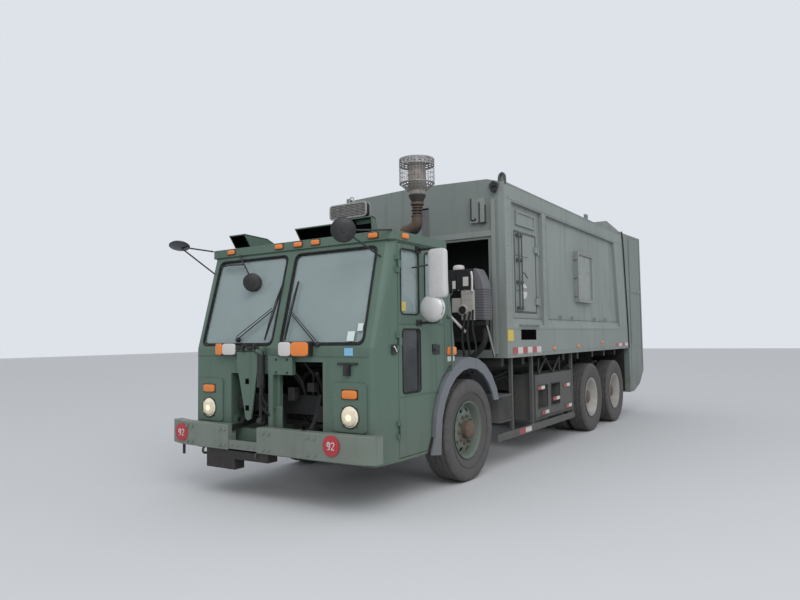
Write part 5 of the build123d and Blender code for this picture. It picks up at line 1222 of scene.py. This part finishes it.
stand = [both(boxes([(342, 520, 1030, 430, 600, 1642)])), boxes([(-430, 520, 1640, 1136, 600, 1704)])]
piece("cooler_stand", stand, black_paint, "chassis", bevel=2)
beige = [round_edged(836, 478, 1704, 1012, 756, 2050, 26), round_edged(700, 500, 1800, 838, 740, 1964, 22),
         lathe([(0, 0), (62, 0), (62, 20), (52, 24), (0, 24)], (872, 480, 1822), (0, -1, 0), 32)]
beige += [boxes([(846, 474, z, 1002, 478, z + 8) for z in (1740, 1870, 1940, 2010)])]
piece("cooler_case", beige, paint("case_grey_paint", (0.40, 0.375, 0.345), chalk=0.3, dirt=1.3, rough=0.6),
      "chassis", ("cooler_rack",))
dark_parts = [round_edged(653, 482, 2048, 978, 758, 2296, 12),
              boxes([(664, 474, 2060, 772, 482, 2284), (790, 474, 2060, 966, 482, 2284)]),
              lathe([(0, 0), (46, 0), (46, 8), (0, 8)], (872, 456, 1822), (0, -1, 0), 32)]
dark_parts += [lathe([(44, -8), (52, -6), (52, 6), (44, 8)], (746, 620, 2306), (0, 0, 1), 24)]
piece("control_box", dark_parts, black_paint, "chassis", bevel=2)
duct_rings = [(1012, 1132, 1706), (1012, 1134, 1900), (1008, 1130, 2040), (1000, 1118, 2120),
              (994, 1090, 2200), (990, 1046, 2286), (992, 1030, 2298)]
duct = np.stack([ring_path([(x0, 500, z), (x1, 500, z), (x1, 700, z), (x0, 700, z)], 14, 4)
                 for x0, x1, z in duct_rings])
ends = [np.broadcast_to(duct[k].mean(0), duct[k].shape)[None] for k in (0, -1)]
duct_parts = [grid(np.concatenate([ends[0], duct, ends[1]]), wrap_v=True)]
duct_parts += [tube(ring_path([(1008, 496, z), (1138, 496, z), (1138, 704, z), (1008, 704, z)], 14, 4), 5,
                    6, closed=True) for z in range(1730, 2090, 30)]
piece("air_duct", duct_parts, gap_grey, "chassis")
pale = [lathe([(0, 0), (66, 0), (68, 6), (68, 40), (60, 58), (30, 66), (0, 66)], (746, 620, 2298),
              (0, 0, 1), 36),
        tube(arc_path([(983, 478, 2262), (996, 472, 2200), (992, 472, 2030)], 30), 13, 10)]
pale += [boxes([(736, 471, 2072, 778, 474, 2164), (876, 471, 2098, 946, 474, 2204)]),
         tube([(664, 500, 1780), (884, 500, 1566)], 17, 12)]
piece("gap_pale_parts", pale, plastic("pale_enamel", (0.66, 0.63, 0.60), 0.4), "chassis", bevel=1)
gap_runs = [
    # radius, bend, points
    (30, 90, [(640, 560, 1880), (560, 520, 1860), (500, 500, 1560), (470, 460, 1200)]),
    (34, 90, [(1080, 600, 1690), (1080, 600, 1420), (900, 560, 1240), (560, 480, 1200)]),
    (22, 80, [(700, 560, 1700), (660, 480, 1500), (700, 430, 1240), (620, 420, 1020)]),
    (14, 70, [(960, 470, 1800), (940, 420, 1560), (990, 400, 1300), (820, 380, 1060)]),
    (14, 70, [(900, 470, 1780), (880, 410, 1500), (930, 380, 1250), (760, 360, 1050)]),
    (12, 60, [(1000, 470, 1820), (1010, 430, 1600), (1060, 420, 1380), (1000, 420, 1100)]),
    (12, 60, [(560, 500, 1640), (500, 380, 1500), (480, 300, 1300), (520, 260, 1100)]),
    (30, 90, [(-380, -100, 2200), (-380, 60, 2100), (-300, 200, 1700), (-300, 300, 1200)]),
]
piece("gap_hoses", [tube(arc_path(points, bend, 8), radius, 12) for radius, bend, points in gap_runs],
      seal_rubber, "chassis")
struts = [tube(points, radius, 10) for points, radius in (
    ([(1120, 560, 1660), (1120, 760, 1280)], 14),
    ([(-420, 560, 1640), (-420, 880, 1300)], 14), ([(690, 560, 2040), (400, 560, 1700)], 12))]
piece("gap_struts", struts + [studs([(x, 470, 2050) for x in (660, 740, 820, 900, 970)], (0, -1, 0), 8, 6)],
      bare_steel, "chassis")

panel = ring_path([(-522, 0, 2922), (11, 0, 2922), (11, 0, 3085), (-522, 0, 3085)], 44, 6)
panel_middle = np.broadcast_to(panel.mean(0), panel.shape)
intake = grid(np.stack([panel_middle + (0, -150, 0), panel + (0, -150, 0), panel + (0, -222, 0),
                        panel_middle + (0, -222, 0)]), wrap_v=True)
legs = boxes([(-430, -230, 1030, -330, -150, 2930), (-170, -222, 2400, -140, -180, 2930),
              (-430, -222, 2380, -140, -180, 2410)])
piece("intake_case", [intake, legs], black_paint, "chassis", ("air_intake",))
wires = [boxes([(-516 + 18 * k, -232, 2926, -512 + 18 * k, -228, 3081) for k in range(30)]
               + [(-518, -236, 2930 + 18 * k, 7, -232, 2934 + 18 * k) for k in range(9)])]
wires += [tube(panel + (0, -228, 0), 9, 8, closed=True), tube(panel + (0, -152, 0), 7, 8, closed=True)]
wires += [tube(ring_path([(-262, -180, 3090), (-202, -180, 3090), (-202, -180, 3166), (-262, -180, 3166)],
                         28), 7, 8, closed=True)]
piece("intake_mesh", wires, metal("mesh_steel", (0.40, 0.39, 0.37), 0.5, 0.3, 0.4), "chassis")

# %% [markdown]
# ## Load body
# The body's walls are plain sheet, so its scale comes from the small things:
# rows of welds, hinge leaves, the latch rods of the access door, the sign board
# in its frame, the tapes and the marker lamps.

# %% Body fittings
rods = [tube([(1214, 1330, 1830), (1214, 1330, 2800)], 9, 10),
        tube([(1214, 1420, 1830), (1214, 1420, 2800)], 9, 10)]
guides = boxes([(1180, y - 26, z - 18, 1222, y + 26, z + 18) for y in (1330, 1420)
                for z in (1860, 2180, 2460, 2770)])
handle = tube(arc_path([(1222, 1420, 2300), (1240, 1420, 2300), (1240, 1520, 2240)], 20), 8, 8)
strips = boxes([(1180, 1256, 1812, 1186, 1268, 2820), (1180, 1940, 1812, 1186, 1952, 2820),
                (1180, 1256, 1812, 1186, 1952, 1824), (1180, 1256, 2808, 1186, 1952, 2820)])
piece("access_door_latch", rods + [guides, handle, strips], guard_grey, "access_door", bevel=2)
piece("access_door_disc", lathe([(0, 0), (96, 0), (96, 3), (92, 4), (0, 4)], (CAB_SIDE + 1, 1545, 2076),
                                (1, 0, 0), 40),
      tape_white, "access_door")
seams = [both(tube([(BODY_SIDE + 1, y0, z), (BODY_SIDE + 1, y1, z)], 4.0, 6))
         for y0, y1, z in ((905, 6340, 1300), (905, 6340, 1600), (905, 6080, 3176), (905, 6080, 3352))]
seams += [both(tube([(BODY_SIDE + 2, 1090, 1740), (BODY_SIDE + 2, 1090, 3150)], 4.0, 6)),
          both(tube([(BODY_SIDE + 2, 2090, 1740), (BODY_SIDE + 2, 2090, 3150)], 4.0, 6)),
          both(tube([(BODY_SIDE + 2, 2240, 1740), (BODY_SIDE + 2, 2240, 3150)], 4.0, 6))]
seams += [both(tube([(1186, y0, z), (1186, y1, z)], 5.0, 6))
          for y0, y1, z in ((1095, 2085, 1738), (2245, 5800, 1738), (1095, 2085, 3150), (2245, 5600, 3150))]
gussets = [both(boxes([(1180, y, 1736, 1222, y + 12, 1790) for y in (2800, 3300, 4400, 5000)]))]
front_ribs = [boxes([(x - 24, 874, 1300, x + 24, 900, 3160) for x in (-1080, 1080)]),
              boxes([(-1100, 880, 2720, 1100, 900, 2790)])]
brackets = boxes([(792, 866, 2930, 856, 900, 3196), (906, 866, 2890, 992, 900, 3136)])
hooks = [tube(arc_path(p, 20), 9, 8) for p in (
    [(800, 856, 3196), (800, 856, 2926), (858, 856, 2926), (858, 856, 2950)],
    [(912, 856, 3136), (912, 856, 2886), (994, 856, 2886), (994, 856, 3100)])]
piece("front_wall_hooks", hooks, black_plastic, "chassis")
piece("body_seams", seams + gussets + front_ribs + [brackets], olive_side, "chassis", bevel=1)
weld_bolts = [both(studs([(BODY_SIDE, y, 1275) for y in np.arange(960, 6300, 180)], (1, 0, 0), 8, 6)),
              both(studs([(BODY_SIDE, 2165, z) for z in np.arange(1800, 3150, 150)], (1, 0, 0), 8, 6)),
              both(studs([(BODY_SIDE, 1000, z) for z in np.arange(1700, 3300, 150)], (1, 0, 0), 8, 6))]
piece("body_bolts", weld_bolts, olive_side, "chassis")

board_edge = [(1224, 3548, 2062), (1224, 4167, 2062), (1224, 4167, 2738), (1224, 3548, 2738)]
board = slab(board_edge, (5, 0, 0), 0.01)
piece("sign_board", [board], plastic("sign_board", (0.26, 0.29, 0.275), 0.45), "chassis")
lip_edge = [(1248, 3506, 2021), (1248, 4209, 2021), (1248, 4209, 2779), (1248, 3506, 2779)]
sign_lip = [tube(ring_path(lip_edge, 12), 9, 8, closed=True)]
sign_lip += [boxes([(1180, y, z - 20, 1232, y + 30, z + 20) for y in (3470, 4215)
                    for z in (2120, 2400, 2680)])]
lip_bolts = [(1250, y, z) for y in (3523, 4192) for z in (2040, 2220, 2400, 2580, 2760)]
sign_lip += [studs(lip_bolts, (1, 0, 0), 7, 5)]
piece("sign_frame", sign_lip, bare_steel, "chassis", bevel=1)
bar_line = [(1190, 1290, 1640), (1250, 1290, 1650), (1250, 1890, 1650), (1190, 1890, 1640)]
bar_parts = [tube(arc_path(bar_line, 30), 11, 10)]
# Painted shade: a black sheet under the grab bar stands in for the shade in the body's recess.
recess = slab([(BODY_SIDE, 1312, 1466), (BODY_SIDE, 1796, 1462), (BODY_SIDE, 1800, 1592),
               (BODY_SIDE, 1316, 1592)], (3, 0, 0), 0.01)
# Painted shade: a thick black rubber tube along the gap between load body and tailgate stands in for the
# shade in that gap.
gap_line = [(1222, 6390, 1262), (1222, 6352, 1800), (1222, 6225, 2900), (1222, 6166, 3330)]
gate_gap = [both(tube(gap_line, 22, 8))]
piece("tailgate_gap_shade", gate_gap, seal_rubber, "chassis")
hoop = [tube(arc_path([(1150, 925, 3340), (1150, 925, 3440), (1190, 925, 3478), (1230, 925, 3440),
                       (1230, 925, 3340)], 40), 15, 12)]
fixing = [lathe([(0, 0), (34, 0), (38, 8), (38, 40), (0, 40)], (1110, 880, z), (0, -1, 0), 24)
          for z in (3330, 3270)]
piece("lifting_hoop", hoop + [boxes([(1040, 868, 3300, 1160, 900, 3350)])], guard_grey, "chassis",
      bevel=1)
piece("front_wall_fixings", fixing, black_plastic, "chassis")
piece("body_grab_bar", bar_parts, olive_body, "chassis")
piece("body_recess_shade", [recess], shadow_black, "chassis")
tape((BODY_SIDE + 1.5, 1050, 1334), (BODY_SIDE + 1.5, 1960, 1334), 6, 84, (1.5, 0, 0), "chassis",
     "sill_tape_front")
tape((BODY_SIDE + 1.5, 5500, 1330), (BODY_SIDE + 1.5, 6330, 1330), 4, 52, (1.5, 0, 0), "chassis",
     "sill_tape_rear")
plate_edge = [(BODY_SIDE + 1.5, y, z) for y, z in ((912, 1456), (1080, 1456), (1080, 1590), (912, 1590))]
piece("yellow_plate", [slab(plate_edge, (1.5, 0, 0), 0.02)],
      plastic("yellow_plate", (0.62, 0.47, 0.05), 0.4), "chassis")
markers = [both(pillow((BODY_SIDE + 1, y, z), 44, 20, 16, left))
           for y, z in ((2435, 1341), (3447, 1350), (4685, 1394))]
piece("body_markers", markers, amber_plastic, "chassis")

# %% [markdown]
# ## Tailgate
# The tailgate is folded sheet with ribs.  Its rear shows the loading opening,
# the lamps in two clusters, a step with a grating and rails to hold.

# %% Tailgate fittings
ribs = [both(tube([(BODY_SIDE + 1, y0, z0), (BODY_SIDE + 1, y1, z1)], 5.0, 6)) for y0, z0, y1, z1 in (
    (6560, 700, 6560, 3380), (7440, 900, 7440, 3400), (6560, 2300, 7440, 2300), (6560, 1300, 7440, 1300),
    (6560, 3380, 7440, 3400))]
channels = [both(boxes([(BODY_SIDE, 6600, 1340, 1233, 6660, 3340), (BODY_SIDE, 7380, 940, 1233, 7440, 3380),
                        (BODY_SIDE, 6660, 2320, 1233, 7380, 2380)]))]
rear_frame = boxes([(-1140, GATE_BACK, 2290, 1140, 7492, 2350), (-1150, GATE_BACK, 1010, -1090, 7492, 2350),
                    (1090, GATE_BACK, 1010, 1150, 7492, 2350), (-1140, GATE_BACK, 3300, 1140, 7490, 3360),
                    (-1140, GATE_BACK, 2760, 1140, 7488, 2800)])
piece("tailgate_ribs", ribs + channels + [rear_frame], olive_gate, "tailgate", bevel=2)
rails = [both(tube(arc_path([(1170, 7482, 1150), (1170, 7498, 1150), (1170, 7498, 1850),
                             (1170, 7482, 1850)], 16), 9, 10))]
grate = [boxes([(-1080 + 40 * k, GATE_BACK, 998, -1060 + 40 * k, 7499, 1003) for k in range(54)])]
gate_bolts = [both(studs([(1112, GATE_BACK, z) for z in np.arange(1100, 3300, 160)], (0, 1, 0), 9, 7)),
              both(studs([(BODY_SIDE, 6570, z) for z in np.arange(900, 3300, 160)], (1, 0, 0), 9, 7))]
piece("tailgate_rails", rails + grate + gate_bolts, black_paint, "tailgate")
back = (0, 1, 0)
piece("tail_lenses", [both(pillow((1130, 7494, z), 44, 44, 5, back, 2.2)) for z in (2450, 880)],
      red_plastic, "tailgate", ("tail_lamps",))
piece("turn_lenses", [both(pillow((1130, 7494, 2560), 44, 44, 5, back, 2.2))], amber_plastic, "tailgate")
tail_ring = [(44, -14), (54, -14), (54, -2), (48, 4), (44, 2)]
tail_rings = [both(lathe(tail_ring, (1130, 7492, z), (0, 1, 0), 40)) for z in (2450, 2560, 880)]
piece("tail_lamp_rings", tail_rings, black_plastic, "tailgate")
hinge_caps = [both(lathe([(0, 0), (52, 0), (52, 6), (34, 8), (34, 12), (0, 12)], (BODY_SIDE, 6150, 3380),
                         (1, 0, 0), 32))]
piece("gate_hinge_caps", hinge_caps, cast_iron, "chassis")

# %% [markdown]
# ## Under the body
# Between the wheels hang the side boxes with their cover, steps and truss, the
# brake chambers, the air lines and the bar that keeps people off the wheels.

# %% Under the body
steps = [boxes([(1181, 1860, 430 + 12 * k, 1184, 3230, 434 + 12 * k) for k in range(3)])]
treads = [boxes([(1052, y, 556, 1178, y + 330, 562) for y in (1930, 2400)]),
          boxes([(1060 + 14 * k, y, 562, 1066 + 14 * k, y + 330, 566) for k in range(8)
                 for y in (1930, 2400)])]
frames = [tube(ring_path([(1183, y, 562), (1183, y + 330, 562), (1183, y + 330, 858), (1183, y, 858)], 14),
               7, 8, closed=True) for y in (1930, 2400)]
cover = [boxes([(1180, 744, 530, 1186, 1066, 806)]),
         studs([(1186, y, z) for y in (760, 1050) for z in (545, 790)], (1, 0, 0), 9, 7)]
truss = [tube([(1150, y0, z0), (1150, y1, z1)], 15, 10) for y0, z0, y1, z1 in (
    (2025, 1000, 2280, 1215), (2280, 1215, 2540, 1000), (2540, 1000, 2810, 1215), (2025, 1215, 2025, 1000),
    (2810, 1215, 2810, 1000), (3330, 773, 3330, 1258))]
piece("side_steps", steps + treads + frames + cover + truss, black_paint, "chassis", bevel=1)
guard_bar = boxes([(1166, 660, 300, 1190, 3290, 388)])
piece("guard_bar", [guard_bar], guard_grey, "chassis", bevel=3)
tape((1190.5, 1274, 344), (1190.5, 1656, 344), 2, 58, (1.5, 0, 0), "chassis", "guard_tape")
for row, (y, z) in enumerate(((2026, 826), (3018, 798), (2586, 644), (3081, 499), (2160, 496))):
    tape((1187, y - 130, z), (1187, y + 130, z), 2, 46, (1.5, 0, 0), "chassis", f"box_tape_{row}")
under_runs = [
    # radius, bend, points
    (12, 60, [(520, 300, 900), (560, 900, 700), (560, 1700, 720), (500, 2600, 860), (480, 3600, 820)]),
    (12, 60, [(540, 320, 940), (600, 950, 740), (590, 1750, 760), (520, 2650, 900), (500, 3620, 850)]),
    (10, 50, [(700, 760, 1000), (840, 1150, 930), (900, 1500, 1000), (820, 1840, 900)]),
    (10, 50, [(740, 760, 1020), (890, 1180, 1000), (960, 1560, 1080), (880, 1840, 960)]),
    (16, 70, [(640, 1090, 740), (760, 1300, 640), (760, 1600, 660), (880, 1840, 760)]),
    (12, 60, [(-520, 300, 900), (-480, 900, 700), (-470, 3000, 720), (-470, 3700, 840)]),
    (9, 60, [(360, 4000, 700), (560, 4060, 820), (640, 4140, 700)]),
    (9, 60, [(360, 5300, 700), (560, 5380, 820), (640, 5460, 700)]),
]
piece("air_lines", [tube(arc_path(points, bend, 8), radius, 10) for radius, bend, points in under_runs],
      seal_rubber, "chassis")
pot = [(0, -80), (60, -80), (86, -66), (90, -6), (96, -4), (96, 6), (90, 8), (84, 60), (60, 74), (0, 74)]
chambers = [both(lathe(pot, (560, y + 170, 620), (0, 1, 0), 32)) for _, y in DRIVE_AXLES]
chambers += [both(lathe([(0, -60), (50, -60), (74, -46), (80, 0), (74, 46), (50, 60), (0, 60)],
                        (640, 150, 520), (0, 1, 0), 32))]
piece("brake_chambers", chambers, black_paint, "chassis")

# %% [markdown]
# ## Inside the cab
# Two seats, a dash and a steering wheel show through the glass.  A seat is soft:
# its cushion is crowned and its sides pull in between the corners.  The shape is
# a superellipse in plan whose rings swell at mid height, and the sewn channels
# rise and fall with (1 - u^4)(1 - v^4), which is how a cover sits over foam.

# %% Seats
def cushion(centre, half_a, half_b, half_h, turn, crown=0.45, steps=40):
    """Closed pad: superellipse rings that swell at mid height and crown at the top."""
    a = np.arange(steps) * 2 * np.pi / steps
    c, s = np.cos(a), np.sin(a)
    unit = np.stack([np.sign(c) * np.abs(c) ** 0.42, np.sign(s) * np.abs(s) ** 0.42], -1)
    pull = 1 - 0.035 * np.cos(2 * a) ** 2 + 0.03 * np.cos(4 * a)
    t = np.linspace(-np.pi / 2, np.pi / 2, 15)
    shrink = np.abs(np.cos(t)) ** 0.32
    rise = np.sin(t) * (1 + crown * (1 - shrink))
    points = np.stack([unit[:, 0] * pull * half_a * shrink[:, None],
                       unit[:, 1] * pull * half_b * shrink[:, None],
                       np.broadcast_to(rise[:, None] * half_h, (15, steps))], -1)
    return moved(grid(points, wrap_v=True), centre, turn)


def channels_of(centre, half_a, half_b, height, turn, count=5):
    """Sewn channels: cords sunk along the crowned top."""
    u = np.linspace(-0.9, 0.9, 15)
    lines = []
    for v in np.linspace(-0.66, 0.66, count):
        path = np.stack([np.full(15, v * half_a), u * half_b,
                         height * (1.0 + 0.42 * (1 - u ** 4) * (1 - v ** 4)) - 4.5], -1)
        lines.append(moved(tube(path, 3.5, 6), centre, turn))
    return lines


level = np.eye(3)
upright = np.array([[1, 0, 0], [0, 0.12, -0.993], [0, 0.993, 0.12]])
for side, sign in BOTH_SIDES:
    cushion_row = ((sign * 878.0, -720, 1478), 232, 236, 64)
    back_row = ((sign * 878.0, -520, 1800), 222, 270, 56)
    seat = piece(f"seat_cushion_{side}", [cushion(*cushion_row, level)], seat_cloth, "cab")
    rest = piece(f"seat_back_{side}", [cushion(*back_row, upright)], seat_cloth, "cab",
                 ("seats",) if side == "left" else ())
    piece(f"seat_piping_{side}", channels_of(*cushion_row, level) + channels_of(*back_row, upright),
          seal_rubber, "cab")
base = both(boxes([(690, -940, 1340, 1066, -500, 1420), (720, -900, 1256, 1036, -540, 1340)]))
piece("seat_bases", base, black_paint, "cab", bevel=6)

# %% Steering wheel and dash
tilt_a = math.radians(-28)
tilt = np.array([[1, 0, 0], [0, math.cos(tilt_a), -math.sin(tilt_a)],
                 [0, math.sin(tilt_a), math.cos(tilt_a)]])
ring_a = np.arange(64) * 2 * np.pi / 64
rim_line = np.stack([218 * np.cos(ring_a), 218 * np.sin(ring_a), np.zeros(64)], -1)
wheel = [tube(rim_line, 15.5, 12, closed=True),
         lathe([(0, -26), (60, -24), (64, -10), (58, 12), (30, 22), (0, 24)], steps=32)]
wheel += [tube(arc_path([(58 * np.cos(t), 58 * np.sin(t), 4), (140 * np.cos(t), 140 * np.sin(t), -14),
                         (212 * np.cos(t), 212 * np.sin(t), 0)], 40), 11, 8)
          for t in (np.pi / 2, np.pi * 7 / 6, np.pi * 11 / 6)]
piece("steering_wheel", [moved(p, (878, -1235, 1500), tilt) for p in wheel], black_plastic, "cab")
a = np.array((878.0, -1235.0, 1490.0))
column = [tube([a, a + (0, -190, -356)], 31, 16),
          lathe([(34, -30), (48, -26), (48, 40), (34, 44)], a, (0, -0.47, -0.88), 24)]
dash_top = [boxes([(-1000, -1640, 1384, 1000, -1466, 1400), (560, -1560, 1400, 1000, -1480, 1436)])]
dials = [lathe([(0, 0), (r, 0), (r + 4, -4), (r + 8, 2), (r + 8, 6)], (x, -1436, z), (0, 1, 0.28), 28)
         for x, z, r in ((800, 1350, 34), (890, 1350, 34), (960, 1345, 20), (730, 1345, 20),
                         (700, 1300, 18), (770, 1296, 18))]
piece("dash_fittings", column + dash_top + dials, black_plastic, "cab", bevel=2)
dome = [boxes([(-560, -1290, 1338, 560, -560, 1352)]), boxes([(-420, -1000, 1352, 420, -620, 1420)])]
piece("engine_cover", dome, plastic("engine_cover", (0.05, 0.052, 0.050), 0.7), "cab", bevel=12)
visor = [boxes([(-980, -1420, 2338, -120, -1400, 2392), (120, -1420, 2338, 980, -1400, 2392)])]
piece("sun_visors", visor, black_plastic, "cab", bevel=4)
print("pieces", len(made), "faces", sum(made.values()))

# %% [markdown]
# ## Floor and light
# The truck stands on a plain pale floor under a wide soft sky.  The sky is the
# world colour, which lights everything evenly, and one large lamp from the
# front left gives the edges a little shape.

# %% Stage
def stage_material():
    """Plain pale floor, dull enough to show no reflection."""
    f = Finish("stage", Roughness=0.9, Specular_IOR_Level=0.1)
    f.set("Base Color", (0.62, 0.62, 0.62))
    return f.material


floor_mesh = bpy.data.meshes.new("floor")
floor_mesh.from_pydata([(-60, -60, 0), (60, -60, 0), (60, 60, 0), (-60, 60, 0)], [], [(0, 1, 2, 3)])
floor = bpy.data.objects.new("floor", floor_mesh)
floor_mesh.materials.append(stage_material())
bpy.context.scene.collection.objects.link(floor)

world = bpy.data.worlds.new("sky")
bpy.context.scene.world = world
world.use_nodes = True
world.node_tree.nodes["Background"].inputs["Color"].default_value = (0.86, 0.90, 0.96, 1)
world.node_tree.nodes["Background"].inputs["Strength"].default_value = 0.85

key = bpy.data.lights.new("key", "AREA")
key.shape, key.size, key.size_y, key.energy = "RECTANGLE", 12, 8, 900
key_lamp = bpy.data.objects.new("key", key)
key_lamp.location = (9, -11, 11)
aim = Vector((0, -1.0, 1.5)) - Vector((9, -11, 11))
key_lamp.rotation_euler = aim.to_track_quat("-Z", "Y").to_euler()
bpy.context.scene.collection.objects.link(key_lamp)
bpy.context.scene.view_settings.view_transform = "Standard"
print("stage set")
